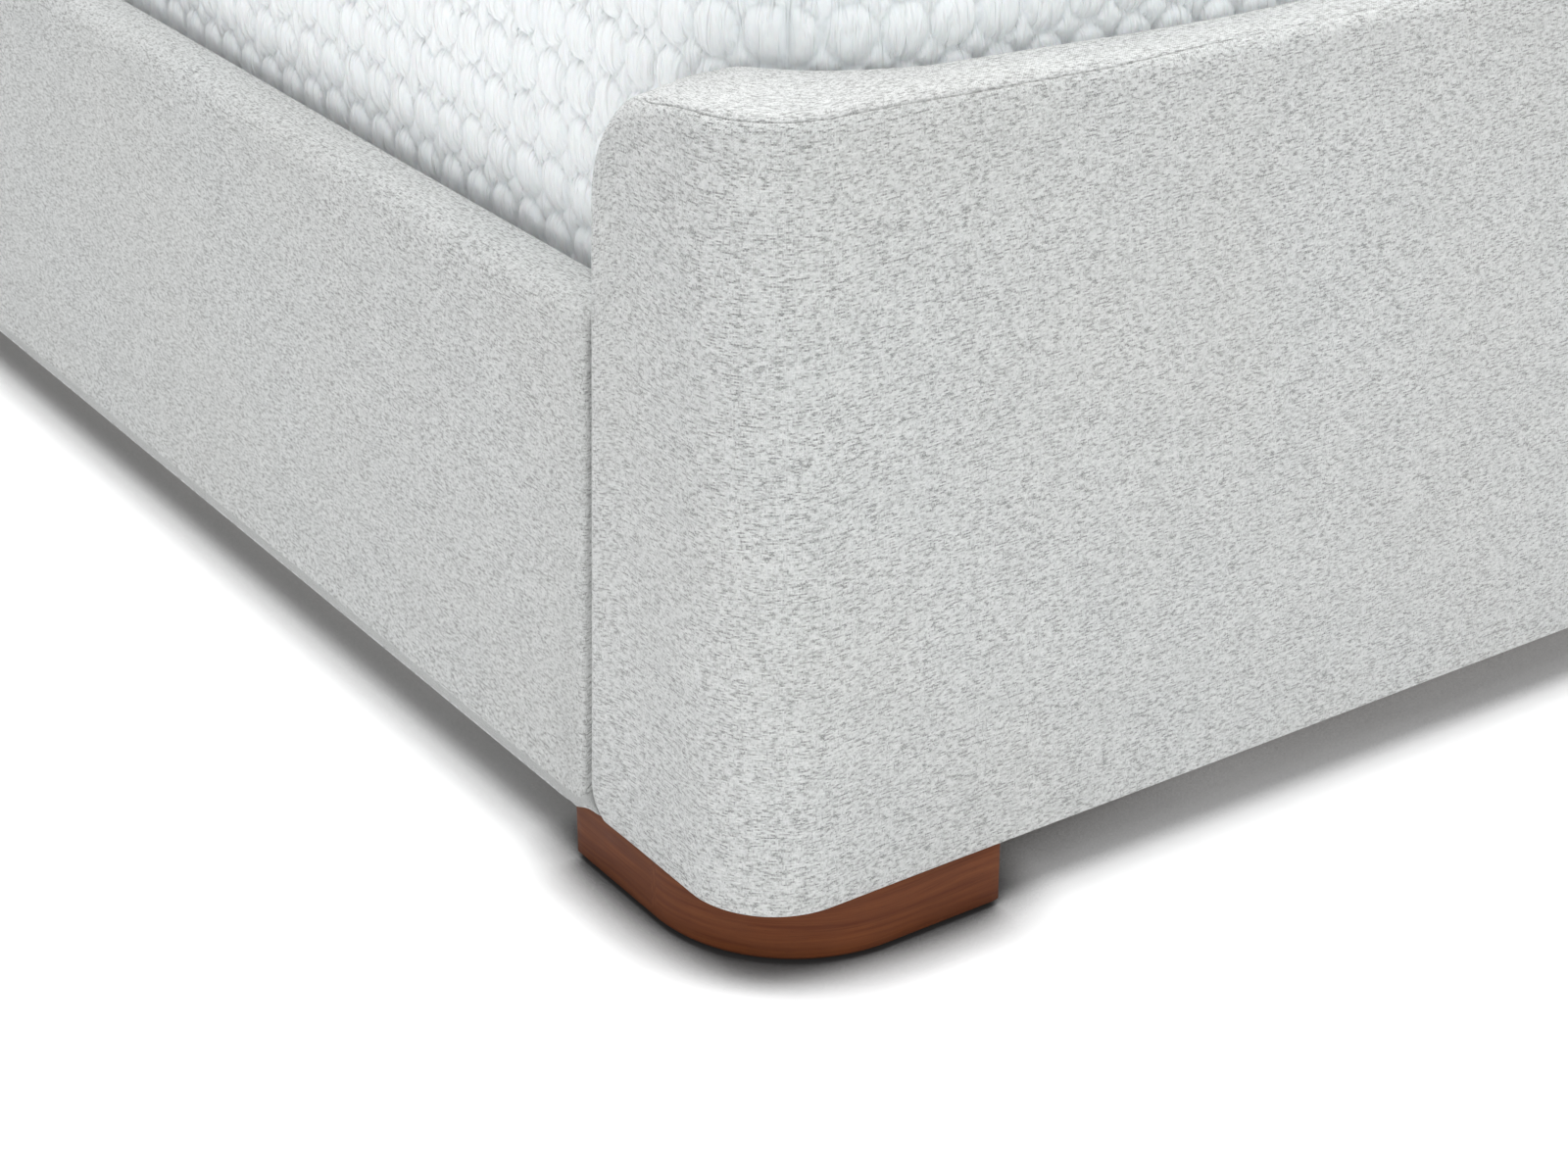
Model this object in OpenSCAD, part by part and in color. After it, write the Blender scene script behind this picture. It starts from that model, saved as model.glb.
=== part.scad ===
// Upholstered sleigh bed with a wrap-around headboard and footboard, a slatted deck and a mattress.
// Millimetres. +X across the bed, +Y towards the head, +Z up, origin on the floor at the middle of the bed.

/* [Mattress] */
// Mattress width
mattress_w = 1524; // [1370:2:1930]
// Mattress length
mattress_l = 2032; // [1900:2:2130]
// Mattress height
mattress_h = 356; // [250:2:370]
// Plan radius of the mattress corners
mattress_r = 110; // [90:1:120]

/* [Boards] */
// Thickness of the headboard and the footboard
board_t = 60; // [56:1:70]
// How far the boards wrap round onto the sides of the bed
return_d = 178; // [176:1:190]
// Outer plan radius of the wrapped corners
corner_r = 65; // [55:1:75]
// Height of the footboard's top above the floor
foot_top = 567; // [520:1:620]
// Side radius of the footboard returns' top corners
foot_round = 75; // [60:1:90]
// Height at which the headboard begins to sweep back
sweep_z = 640; // [600:1:700]
// Radius of the headboard's sweep, at its back face
sweep_r = 950; // [900:10:1400]
// Angle of the headboard's sweep
sweep_a = 30; // [20:1:32]
// Side radius of the headboard wings' top corners
wing_round = 110; // [80:1:112]

/* [Side rails] */
// Thickness of the upholstered side rails
rail_t = 50; // [48:1:56]
// Height of the rails' top above the floor
rail_top = 416; // [390:1:440]

/* [Deck] */
// Height of the top of the slats
deck_z = 310; // [290:1:320]
// Number of slats
slats = 12; // [8:1:12]
// Width of a slat along the bed
slat_w = 80; // [60:1:90]

/* [Feet] */
// Height of the feet, which is the upholstery's clearance
foot_h = 50; // [45:1:60]
// Length of each foot block along either side
foot_l = 204; // [190:1:215]
// Plan radius of a foot block's outer corner
foot_r = 110; // [80:1:130]

/* [Hidden] */
$fn = 48;
sides = ["left", "right"];
slat_names = [for (i = [1:slats]) str("slat_", i)];
leg_names = [for (i = [1:3]) str("center_leg_", i)];
leveler_names = [for (i = [1:3]) str("leveler_", i)];
foot_names = ["foot_front_left", "foot_front_right", "foot_rear_left", "foot_rear_right"];

cover_t = 2;                       // upholstery fabric with its backing
foam_t = 12;                       // wadding and foam over the frames
core_in = cover_t + foam_t;        // inset of the foam's inner face inside a board
timber_in = core_in + 0.1;         // inset of the timber, just clear of the foam
fillet_r = 115;                    // inner plan radius where a board meets its return
seam_in = 12;                      // the seam's distance in from a board's outer face
side_gap = 8;                      // mattress to the boards' inner face, across the bed
end_gap = 10;                      // the same, along the bed
bed_w = mattress_w + 2 * (side_gap + board_t);
base_l = mattress_l + 2 * (end_gap + board_t);   // length at floor level
bed_l = base_l + sweep_r * (1 - cos(sweep_a));   // length over the swept headboard
block_w = 190;                     // width of a corner block, from the bed's side
frame_rail_h = 60;                 // height of the boards' inner timbers
post_w = 45;
dust_t = 1.5;
fit_gap = 0.3;                     // clearance between upholstered pieces that meet
steps = 8;                         // straight pieces to a quarter turn of a plan arc

slat_t = 18;
ledger_s = 35;                     // side of a ledger's square section
ledger_z = deck_z - slat_t;        // top of the ledgers and of the beam
rail_board_t = 26;
rail_board_x = rail_t - cover_t - rail_board_t;
rail_board_top = rail_top - core_in;
rail_y0 = return_d + fit_gap;      // the rails' ends, measured from the foot end
rail_y1 = base_l - return_d - fit_gap;
ledger_short = 22;                 // the ledgers stop this far short of the rails' ends
ledger_y0 = rail_y0 + ledger_short;
ledger_y1 = rail_y1 - ledger_short;
first_slat = ledger_y0 + 35;       // middle of the first slat
ease = 2;                          // chamfer on the long edges of the deck's timbers
slat_pitch = (base_l - 2 * first_slat) / (slats - 1);
slat_end_gap = 2;                  // slat ends to the rails' covers
screw_r = 2;                       // 4 mm countersunk screws
screw_l = 22;                      // how far they reach into the ledgers
screw_sink = 3;                    // depth of the heads' counterbores
strap_w = 30;
strap_t = 1.2;

beam_w = 45;
beam_h = 80;
hanger_t = 3;                      // steel stirrups at the beam's ends
hanger_l = 40;
hanger_w = 120;
cleat_w = 35;
cleat_h = 40;
cleat_gap = 5;                     // from the cleats to the fillets and the stirrups
leg_w = 45;
leg_z = 25;                        // underside of the center legs
leg_pitch = 686;
leg_ys = [for (k = [0:2]) base_l / 2 + (k - 1) * leg_pitch];
stud_r = 5;                        // M10 leveling stud
stud_top = 60;
insert_r = 7;
insert_l = 19.5;
insert_rim = 1.5;

pad_t = 2;
pad_r = 16;
pad_at = [[40, 175], [175, 40], [105, 105], [180, 180]];
foot_in = 4;                       // the feet stand back this far from the upholstery
foot_chamfer = 3;
bolt_r = 4;                        // M8
bolt_slack = 0.2;                  // radial clearance of the bolts' bores
bolt_zs = [150, 340];              // heights of the rail bolts
bolt_head_y = return_d - 28;       // where a rail bolt's head bears, from the outer face
bolt_head_h = 6;
rail_bolt_x = rail_board_x + rail_board_t / 2;
nut_r = 6;
nut_y = return_d + 50;             // where the barrel nuts sit, from the outer face
pocket = 20;                       // square access pockets at the rail bolts' heads
foot_bolt_at = [[35, 140], [70, 70], [140, 35]];
foot_bolt_top = 92;
foot_bolt_seat = 14;               // height at which the foot bolts' heads bear

ticking_t = 4;                     // quilted border and top of the mattress
panel_t = 3;                       // its plain underside
comfort_h = 100;                   // its softer upper layer
mattress_top = deck_z + mattress_h;
comfort_z = mattress_top - ticking_t - comfort_h;

// ---- outlines -------------------------------------------------------------------------------

function arc(cx, cy, r, a0, a1, n = steps) =
    [for (k = [0:n]) let (a = a0 + (a1 - a0) * k / n) [cx + r * cos(a), cy + r * sin(a)]];

// Angle at which the inner fillet meets the return's end, for an outline shrunk by inset
function fillet_start(inset) =
    let (short = board_t + fillet_r - (return_d - inset)) short > 0 ? asin(short / (fillet_r + inset)) : 0;

// U-shaped plan of a board and its two returns, outer face on the X axis, shrunk by inset
function u_outline(inset) =
    let (c = board_t + fillet_r, ri = fillet_r + inset, ro = corner_r - inset, f = fillet_start(inset))
    concat(
        [[inset, return_d - inset]],
        arc(corner_r, corner_r, ro, 180, 270),
        arc(bed_w - corner_r, corner_r, ro, 270, 360),
        [[bed_w - inset, return_d - inset]],
        f > 0 ? [] : [[bed_w - board_t + inset, return_d - inset]],
        arc(bed_w - c, c, ri, -f, -90),
        arc(c, c, ri, -90, f - 180),
        f > 0 ? [] : [[board_t - inset, return_d - inset]]
    );

// Plan of everything further than inset inside the outer face, up to depth
function inside_outline(inset, depth) =
    let (r = corner_r - inset)
    concat([[inset, depth]], arc(corner_r, corner_r, r, 180, 270),
           arc(bed_w - corner_r, corner_r, r, 270, 360), [[bed_w - inset, depth]]);

function rounded_rect(x0, y0, x1, y1, r) = concat(
    arc(x0 + r, y0 + r, r, 180, 270), arc(x1 - r, y0 + r, r, 270, 360),
    arc(x1 - r, y1 - r, r, 0, 90), arc(x0 + r, y1 - r, r, 90, 180));

// Section of a timber w wide and h high, with its edges eased
module timber_section(w, h) {
    polygon([[ease, 0], [w - ease, 0], [w, ease], [w, h - ease],
             [w - ease, h], [ease, h], [0, h - ease], [0, ease]]);
}

// ---- frames of reference --------------------------------------------------------------------

// Children are drawn from the foot end's left corner, +Y towards the head
module from_foot() { translate([-bed_w / 2, -bed_l / 2, 0]) children(); }

// Children are drawn from the headboard's back face, +Y towards the foot
module from_head() { from_foot() translate([0, base_l, 0]) mirror([0, 1, 0]) children(); }

// Both ends of the bed, in each end's own frame
module both_ends() { from_foot() children(); from_head() children(); }

// Both sides of an end, in the left side's frame
module both_sides() { children(); translate([bed_w, 0, 0]) mirror([1, 0, 0]) children(); }

module at_side(side) {
    from_foot() if (side == "left") children();
    else translate([bed_w, 0, 0]) mirror([1, 0, 0]) children();
}

// Extrudes a (depth, height) outline across the whole bed
module across(x0 = 0, x1 = bed_w) {
    translate([x0, 0, 0]) rotate([90, 0, 90]) linear_extrude(x1 - x0) children();
}

// ---- footboard ------------------------------------------------------------------------------

module foot_side(inset) {
    polygon(concat([[-1, -1], [return_d - inset, -1]],
        arc(return_d - foot_round, foot_top - foot_round, foot_round - inset, 0, 90),
        [[-1, foot_top - inset]]));
}

module footboard_solid(inset, z0) {
    intersection() {
        translate([0, 0, z0]) linear_extrude(foot_top - inset - z0) polygon(u_outline(inset));
        across() foot_side(inset);
    }
}

module footboard_shell(outer, inner, z0, void_z0) {
    difference() {
        footboard_solid(outer, z0);
        footboard_solid(inner, void_z0);
        board_holes();
    }
}

module seam_zone(top) {
    translate([0, 0, -1]) linear_extrude(top + 2) polygon(inside_outline(seam_in, return_d + 1));
}

module footboard_outer_cover() {
    fabric() from_foot() difference() {
        footboard_shell(0, cover_t, foot_h, foot_h - 1);
        seam_zone(foot_top);
    }
}

module footboard_inner_cover() {
    fabric() from_foot() intersection() {
        footboard_shell(0, cover_t, foot_h, foot_h - 1);
        seam_zone(foot_top);
    }
}

module footboard_foam() {
    foam() from_foot() footboard_shell(cover_t, core_in, foot_h + dust_t, foot_h - 1);
}

module footboard_top_rail() {
    pine() from_foot() translate([block_w, timber_in, foot_top - timber_in - frame_rail_h])
        cube([bed_w - 2 * block_w, board_t - 2 * timber_in, frame_rail_h]);
}

module bottom_rail() {
    translate([block_w, timber_in, foot_h + dust_t])
        cube([bed_w - 2 * block_w, board_t - 2 * timber_in, frame_rail_h]);
}

module footboard_bottom_rail() { pine() from_foot() bottom_rail(); }

function post_xs(n) = [for (k = [0:n - 1]) block_w + (bed_w - 2 * block_w - post_w) * k / (n - 1)];

module footboard_posts() {
    z0 = foot_h + dust_t + frame_rail_h;
    pine() from_foot() for (x = post_xs(5))
        translate([x, timber_in, z0])
            cube([post_w, board_t - 2 * timber_in, foot_top - timber_in - frame_rail_h - z0]);
}

module footboard_corner_blocks() {
    plywood() from_foot() both_sides() difference() {
        intersection() {
            footboard_solid(timber_in, foot_h + dust_t);
            cube([block_w, return_d, foot_top]);
        }
        board_holes();
    }
}

// ---- headboard ------------------------------------------------------------------------------

// Center, across the board, of the arc that rounds a wing's top corner into the swept front edge
wing_c = sqrt(pow(sweep_r + return_d - wing_round, 2) - pow(wing_round, 2)) - sweep_r;
wing_a = atan2(wing_round, wing_c + sweep_r);

// A point a across the board and b below its top, at the swept end, as depth and height
function at_top(p) = [
    -sweep_r + (sweep_r + p[0]) * cos(sweep_a) + p[1] * sin(sweep_a),
    sweep_z + (sweep_r + p[0]) * sin(sweep_a) - p[1] * cos(sweep_a)];

// What the rounding takes off a wing's top corner
module wing_cut(inset) {
    r = wing_round - inset;
    far = 200;
    edge = [wing_c + (wing_round + far) * cos(wing_a), wing_round + (wing_round + far) * sin(wing_a)];
    local = concat([[wing_c, -far], [wing_c + 2 * far, -far], [wing_c + 2 * far, edge[1]], edge],
                   arc(wing_c, wing_round, r, wing_a, -90, 10));
    across(-1, bed_w + 1) polygon([for (p = local) at_top(p)]);
}

function sweep_end(inset) = sweep_a - inset / (sweep_r + board_t / 2) * 180 / PI;

// The swept part of the board's plan, between two angles of the sweep
module swept(inset, a0, a1) {
    translate([0, -sweep_r, sweep_z]) rotate([90, 0, 90]) rotate([0, 0, a0])
        rotate_extrude(angle = a1 - a0)
            polygon([for (p = u_outline(inset)) [sweep_r + p[1], p[0]]]);
}

module headboard_solid(inset, z0) {
    difference() {
        union() {
            translate([0, 0, z0]) linear_extrude(sweep_z - z0) polygon(u_outline(inset));
            swept(inset, 0, sweep_end(inset));
        }
        wing_cut(inset);
    }
}

module headboard_shell(outer, inner, z0, void_z0) {
    difference() {
        headboard_solid(outer, z0);
        headboard_solid(inner, void_z0);
        board_holes();
    }
}

// Everything further in than the seam, along the straight and the swept part
module swept_seam_zone() {
    zone = inside_outline(seam_in, return_d + 20);
    translate([0, 0, -1]) linear_extrude(sweep_z + 1) polygon(zone);
    translate([0, -sweep_r, sweep_z]) rotate([90, 0, 90])
        rotate_extrude(angle = sweep_a + 1) polygon([for (p = zone) [sweep_r + p[1], p[0]]]);
}

module headboard_outer_cover() {
    fabric() from_head() difference() {
        headboard_shell(0, cover_t, foot_h, foot_h - 1);
        swept_seam_zone();
    }
}

module headboard_inner_cover() {
    fabric() from_head() intersection() {
        headboard_shell(0, cover_t, foot_h, foot_h - 1);
        swept_seam_zone();
    }
}

module headboard_foam() {
    foam() from_head() headboard_shell(cover_t, core_in, foot_h + dust_t, foot_h - 1);
}

rail_span_a = frame_rail_h / (sweep_r + board_t / 2) * 180 / PI;   // the top rail's share of the sweep

module headboard_bar(a0, a1, x0, x1) {
    translate([0, -sweep_r, sweep_z]) rotate([90, 0, 90]) rotate([0, 0, a0])
        rotate_extrude(angle = a1 - a0)
            translate([sweep_r + timber_in, x0]) square([board_t - 2 * timber_in, x1 - x0]);
}

module headboard_top_rail() {
    plywood() from_head()
        headboard_bar(sweep_end(timber_in) - rail_span_a, sweep_end(timber_in), block_w, bed_w - block_w);
}

module headboard_bottom_rail() { pine() from_head() bottom_rail(); }

module headboard_posts() {
    z0 = foot_h + dust_t + frame_rail_h;
    plywood() from_head() for (x = post_xs(5)) union() {
        translate([x, timber_in, z0]) cube([post_w, board_t - 2 * timber_in, sweep_z - z0]);
        headboard_bar(0, sweep_end(timber_in) - rail_span_a, x, x + post_w);
    }
}

module headboard_corner_blocks() {
    plywood() from_head() both_sides() difference() {
        intersection() {
            headboard_solid(timber_in, foot_h + dust_t);
            translate([0, -sweep_r, 0]) cube([block_w, sweep_r + return_d, 2 * sweep_z]);
        }
        board_holes();
    }
}

// ---- joints between boards, rails and feet --------------------------------------------------

// Bores for the rail bolts, their access pockets and the foot bolts, in an end's own frame
module board_holes() {
    both_sides() {
        for (z = bolt_zs) {
            translate([rail_bolt_x, bolt_head_y - 1, z]) rotate([-90, 0, 0])
                cylinder(r = bolt_r + bolt_slack, h = return_d + 2 - bolt_head_y);
            translate([rail_bolt_x - pocket / 2, bolt_head_y - pocket, z - pocket / 2])
                cube([board_t, pocket, pocket]);
        }
        for (p = foot_bolt_at)
            translate([p[0], p[1], foot_h - 1])
                cylinder(r = bolt_r + bolt_slack, h = foot_bolt_top + 5 - foot_h);
    }
}

// A socket-head bolt along +Z whose head bears on the XY plane from below
module bolt(length, head_h, head_r, key_r) {
    cylinder(r = bolt_r, h = length);
    difference() {
        translate([0, 0, -head_h]) cylinder(r = head_r, h = head_h);
        translate([0, 0, -head_h - 1]) cylinder(r = key_r, h = head_h - 1, $fn = 6);
    }
}

module rail_bolts() {
    steel() both_ends() both_sides() for (z = bolt_zs)
        translate([rail_bolt_x, bolt_head_y, z]) rotate([-90, 0, 0])
            bolt(nut_y + 5 - bolt_head_y, bolt_head_h, 8, 3);
}

module barrel_nuts() {
    steel() both_ends() both_sides() for (z = bolt_zs)
        difference() {
            translate([rail_board_x + 3, nut_y, z]) rotate([0, 90, 0])
                cylinder(r = nut_r, h = rail_board_t - 6);
            translate([rail_bolt_x, nut_y - 10, z]) rotate([-90, 0, 0]) cylinder(r = bolt_r + 0.05, h = 20);
        }
}

module foot_bolts() {
    steel() both_ends() both_sides() for (p = foot_bolt_at)
        translate([p[0], p[1], foot_bolt_seat]) bolt(foot_bolt_top - foot_bolt_seat, 5, 7, 2.5);
}

// Plan of a foot, square with a rounded outer corner, shrunk by inset
module foot_plan(inset) {
    near = foot_in + inset;
    far = foot_in + foot_l - inset;
    middle = foot_in + foot_r;
    polygon(concat(arc(middle, middle, foot_r - inset, 180, 270, 2 * steps),
                   [[far, near], [far, far], [near, far]]));
}

// One foot block, in the left side's frame of an end
module foot_block() {
    difference() {
        union() {
            z1 = pad_t + foot_chamfer;
            translate([0, 0, z1]) linear_extrude(foot_h - z1) foot_plan(0);
            translate([0, 0, pad_t]) linear_extrude(foot_chamfer) foot_plan(foot_chamfer / 2);
        }
        for (p = foot_bolt_at) translate([p[0], p[1], 0]) {
            cylinder(r = bolt_r + bolt_slack, h = foot_h + 1);
            cylinder(r = 2 * bolt_r, h = foot_bolt_seat);
        }
    }
}

module foot(rear, right) {
    module at_corner() {
        if (right) translate([bed_w, 0, 0]) mirror([1, 0, 0]) children();
        else children();
    }
    walnut() {
        if (rear) from_head() at_corner() foot_block();
        else from_foot() at_corner() foot_block();
    }
}

module foot_pads() {
    felt() both_ends() both_sides() for (p = pad_at)
        translate([p[0], p[1], 0]) cylinder(r = pad_r, h = pad_t);
}

module dust_covers() {
    black_cloth() both_ends() difference() {
        translate([0, 0, foot_h]) linear_extrude(dust_t) polygon(u_outline(cover_t));
        board_holes();
    }
}

// ---- side rails -----------------------------------------------------------------------------

// Section of a rail, (depth, height), with a rounded top, shrunk by inset
function rail_section(inset) =
    let (ro = 20 - inset, ri = 12 - inset / 2)
    concat([[inset, foot_h + inset], [rail_t - inset, foot_h + inset]],
           arc(rail_t - inset - ri, rail_top - inset - ri, ri, 0, 90, 6),
           arc(inset + ro, rail_top - inset - ro, ro, 90, 180, 6));

// Extrudes a section along a rail, short of its ends by inset
module along_rail(inset) {
    translate([0, rail_y1 - inset, 0]) rotate([90, 0, 0])
        linear_extrude(rail_y1 - rail_y0 - 2 * inset) children();
}

// Bores for the rail bolts in a rail's ends
module rail_bores() {
    for (end = [0, 1], z = bolt_zs)
        translate([rail_bolt_x, end * base_l, z]) mirror([0, end, 0]) translate([0, rail_y0 - 1, 0])
            rotate([-90, 0, 0]) cylinder(r = bolt_r + bolt_slack, h = 80);
}

module rail_cover(side) {
    fabric() at_side(side) difference() {
        along_rail(0) polygon(rail_section(0));
        along_rail(cover_t) polygon(rail_section(cover_t));
        rail_bores();
    }
}

module rail_foam(side) {
    foam() at_side(side) along_rail(cover_t) difference() {
        polygon(rail_section(cover_t));
        translate([rail_board_x, 0]) square([rail_board_t + 5, rail_board_top]);
    }
}

module rail_board(side) {
    plywood() at_side(side) difference() {
        translate([rail_board_x, rail_y0 + cover_t, foot_h + cover_t])
            cube([rail_board_t, rail_y1 - rail_y0 - 2 * cover_t, rail_board_top - foot_h - cover_t]);
        rail_bores();
        for (end = [0, 1], z = bolt_zs)
            translate([rail_board_x - 1, end * base_l, z]) mirror([0, end, 0]) translate([0, nut_y, 0])
                rotate([0, 90, 0]) cylinder(r = nut_r + 0.05, h = rail_board_t + 2);
    }
}

module ledger(side) {
    pine() at_side(side) difference() {
        translate([rail_t, ledger_y1, ledger_z - ledger_s]) rotate([90, 0, 0])
            linear_extrude(ledger_y1 - ledger_y0) timber_section(ledger_s, ledger_s);
        for (k = [0:slats - 1]) slat_screw_hole(k);
    }
}

// ---- deck -----------------------------------------------------------------------------------

function slat_y(k) = first_slat + k * slat_pitch;

module slat_screw_hole(k) {
    translate([rail_t + ledger_s / 2, slat_y(k), ledger_z - screw_l - 2])
        cylinder(r = screw_r + 0.05, h = 60);
}

module slat(k) {
    pine() from_foot() difference() {
        across(rail_t + slat_end_gap, bed_w - rail_t - slat_end_gap)
            translate([slat_y(k) - slat_w / 2, ledger_z]) timber_section(slat_w, slat_t);
        both_sides() {
            slat_screw_hole(k);
            translate([rail_t + ledger_s / 2, slat_y(k), deck_z - screw_sink])
                cylinder(r = 2 * screw_r + 0.2, h = screw_sink + 1);
        }
    }
}

module slat_screws() {
    steel() from_foot() both_sides() for (k = [0:slats - 1])
        translate([rail_t + ledger_s / 2, slat_y(k), 0]) {
            translate([0, 0, ledger_z - screw_l]) cylinder(r = screw_r, h = screw_l + slat_t - screw_sink);
            translate([0, 0, deck_z - screw_sink]) cylinder(r = 2 * screw_r, h = screw_sink - 0.5);
        }
}

module slat_straps() {
    webbing() from_foot() both_sides() translate([bed_w / 4, first_slat - slat_w / 2, ledger_z - strap_t])
        cube([strap_w, base_l - 2 * first_slat + slat_w, strap_t]);
}

module center_beam() {
    y0 = board_t + hanger_t + 1;
    pine() from_foot() translate([bed_w / 2 - beam_w / 2, base_l - y0, ledger_z - beam_h]) rotate([90, 0, 0])
        linear_extrude(base_l - 2 * y0) timber_section(beam_w, beam_h);
}

// Steel stirrups that carry the beam's ends: a screwed plate, two cheeks and a floor
module beam_hangers() {
    steel() both_ends() translate([bed_w / 2, board_t, ledger_z - beam_h - hanger_t]) difference() {
        union() {
            translate([-hanger_w / 2, 0, 0]) cube([hanger_w, hanger_t, beam_h + hanger_t]);
            translate([-beam_w / 2 - hanger_t, 0, 0]) cube([beam_w + 2 * hanger_t, hanger_l, beam_h]);
        }
        translate([-beam_w / 2, hanger_t, hanger_t]) cube([beam_w, hanger_l, beam_h]);
        for (x = [-45, 45], z = [20, 60])
            translate([x, -1, z]) rotate([-90, 0, 0]) cylinder(r = 3, h = hanger_t + 2);
    }
}

// Timbers on the boards' inner faces that carry the mattress past the last slats, either side of the beam
module end_cleats() {
    x0 = board_t + fillet_r + cleat_gap;
    x1 = bed_w / 2 - hanger_w / 2 - cleat_gap;
    pine() both_ends() both_sides() across(x0, x1)
        translate([board_t, deck_z - cleat_h]) timber_section(cleat_w, cleat_h);
}

module center_leg(k) {
    pine() from_foot() translate([bed_w / 2, leg_ys[k], 0]) difference() {
        translate([-leg_w / 2, -leg_w / 2, leg_z])
            linear_extrude(ledger_z - beam_h - leg_z) timber_section(leg_w, leg_w);
        translate([0, 0, leg_z - 1]) cylinder(r = insert_r + 0.05, h = insert_l + 1.5);
        translate([0, 0, leg_z]) cylinder(r = stud_r + 1, h = stud_top);
    }
}

module leg_inserts() {
    steel() from_foot() for (y = leg_ys) translate([bed_w / 2, y, leg_z]) difference() {
        union() {
            translate([0, 0, -insert_rim]) cylinder(r = insert_r + 4, h = insert_rim);
            cylinder(r = insert_r, h = insert_l);
        }
        translate([0, 0, -2 * insert_rim]) cylinder(r = stud_r + 0.05, h = insert_l + 4 * insert_rim);
    }
}

module leveler(k) {
    black_plastic() from_foot() translate([bed_w / 2, leg_ys[k], 0]) {
        base_h = 6;
        nut_h = 6;
        cylinder(r = 20, h = base_h);
        translate([0, 0, base_h]) cylinder(r = 9, h = nut_h, $fn = 6);
        translate([0, 0, base_h + nut_h]) cylinder(r = stud_r, h = stud_top - base_h - nut_h);
    }
}

// ---- mattress -------------------------------------------------------------------------------

module mattress_plan(inset) {
    x0 = board_t + side_gap + inset;
    y0 = board_t + end_gap + inset;
    polygon(rounded_rect(x0, y0, bed_w - x0, base_l - y0, mattress_r - inset));
}

module mattress_layer(z0, z1, inset) {
    from_foot() translate([0, 0, z0]) linear_extrude(z1 - z0) mattress_plan(inset);
}

module mattress_bottom_panel() { ticking() mattress_layer(deck_z, deck_z + panel_t, 0); }

module mattress_border() {
    ticking() from_foot() translate([0, 0, deck_z + panel_t]) linear_extrude(mattress_h - panel_t - ticking_t)
        difference() {
            mattress_plan(0);
            mattress_plan(ticking_t);
        }
}

module mattress_core() { foam() mattress_layer(deck_z + panel_t, comfort_z, ticking_t); }

module mattress_comfort_layer() { foam() mattress_layer(comfort_z, comfort_z + comfort_h, ticking_t); }

module mattress_top_panel() { ticking() mattress_layer(mattress_top - ticking_t, mattress_top, 0); }

// ---- colors --------------------------------------------------------------------------------

module fabric() { color([0.78, 0.78, 0.76]) children(); }
module foam() { color([0.93, 0.91, 0.80]) children(); }
module pine() { color([0.86, 0.72, 0.52]) children(); }
module plywood() { color([0.80, 0.66, 0.46]) children(); }
module walnut() { color([0.36, 0.20, 0.13]) children(); }
module steel() { color([0.62, 0.63, 0.65]) children(); }
module felt() { color([0.35, 0.30, 0.26]) children(); }
module webbing() { color([0.15, 0.15, 0.16]) children(); }
module black_cloth() { color([0.10, 0.10, 0.11]) children(); }
module black_plastic() { color([0.12, 0.12, 0.13]) children(); }
module ticking() { color([0.93, 0.94, 0.95]) children(); }

// ---- nodes ----------------------------------------------------------------------------------

footboard_outer_cover();
footboard_inner_cover();
footboard_foam();
footboard_top_rail();
footboard_bottom_rail();
footboard_posts();
footboard_corner_blocks();
headboard_outer_cover();
headboard_inner_cover();
headboard_foam();
headboard_top_rail();
headboard_bottom_rail();
headboard_posts();
headboard_corner_blocks();
for (s = sides) {
    rail_cover(s);
    rail_foam(s);
    rail_board(s);
    ledger(s);
}
dust_covers();
end_cleats();
rail_bolts();
barrel_nuts();
foot_bolts();
foot_pads();
for (k = [0:3]) foot(k > 1, k % 2 == 1);
center_beam();
beam_hangers();
for (k = [0:2]) center_leg(k);
leg_inserts();
for (k = [0:2]) leveler(k);
for (k = [0:slats - 1]) slat(k);
slat_straps();
slat_screws();
mattress_bottom_panel();
mattress_core();
mattress_comfort_layer();
mattress_border();
mattress_top_panel();
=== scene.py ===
"""An upholstered sleigh bed, around its CAD frame.

Fitted covers, a quilted mattress and wood feet are made here. The deck and fasteners are the CAD's own."""

import math

import bmesh
import bpy
import numpy as np
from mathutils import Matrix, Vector


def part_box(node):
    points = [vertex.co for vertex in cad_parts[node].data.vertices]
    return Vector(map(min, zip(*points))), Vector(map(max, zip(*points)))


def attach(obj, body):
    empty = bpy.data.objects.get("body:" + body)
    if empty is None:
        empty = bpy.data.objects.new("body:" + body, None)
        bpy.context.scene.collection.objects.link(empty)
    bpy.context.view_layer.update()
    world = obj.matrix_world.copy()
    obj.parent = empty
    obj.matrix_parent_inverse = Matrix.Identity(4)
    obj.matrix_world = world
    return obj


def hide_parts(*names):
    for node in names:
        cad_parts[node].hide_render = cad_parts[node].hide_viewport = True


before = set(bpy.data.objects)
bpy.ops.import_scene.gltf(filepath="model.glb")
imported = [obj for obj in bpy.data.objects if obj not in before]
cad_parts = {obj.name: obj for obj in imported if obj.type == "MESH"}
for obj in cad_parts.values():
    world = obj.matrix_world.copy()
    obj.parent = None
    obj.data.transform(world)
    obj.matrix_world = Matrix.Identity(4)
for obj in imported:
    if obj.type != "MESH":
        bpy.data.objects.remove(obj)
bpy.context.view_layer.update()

# ---- driving dimensions, in metres ----

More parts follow.
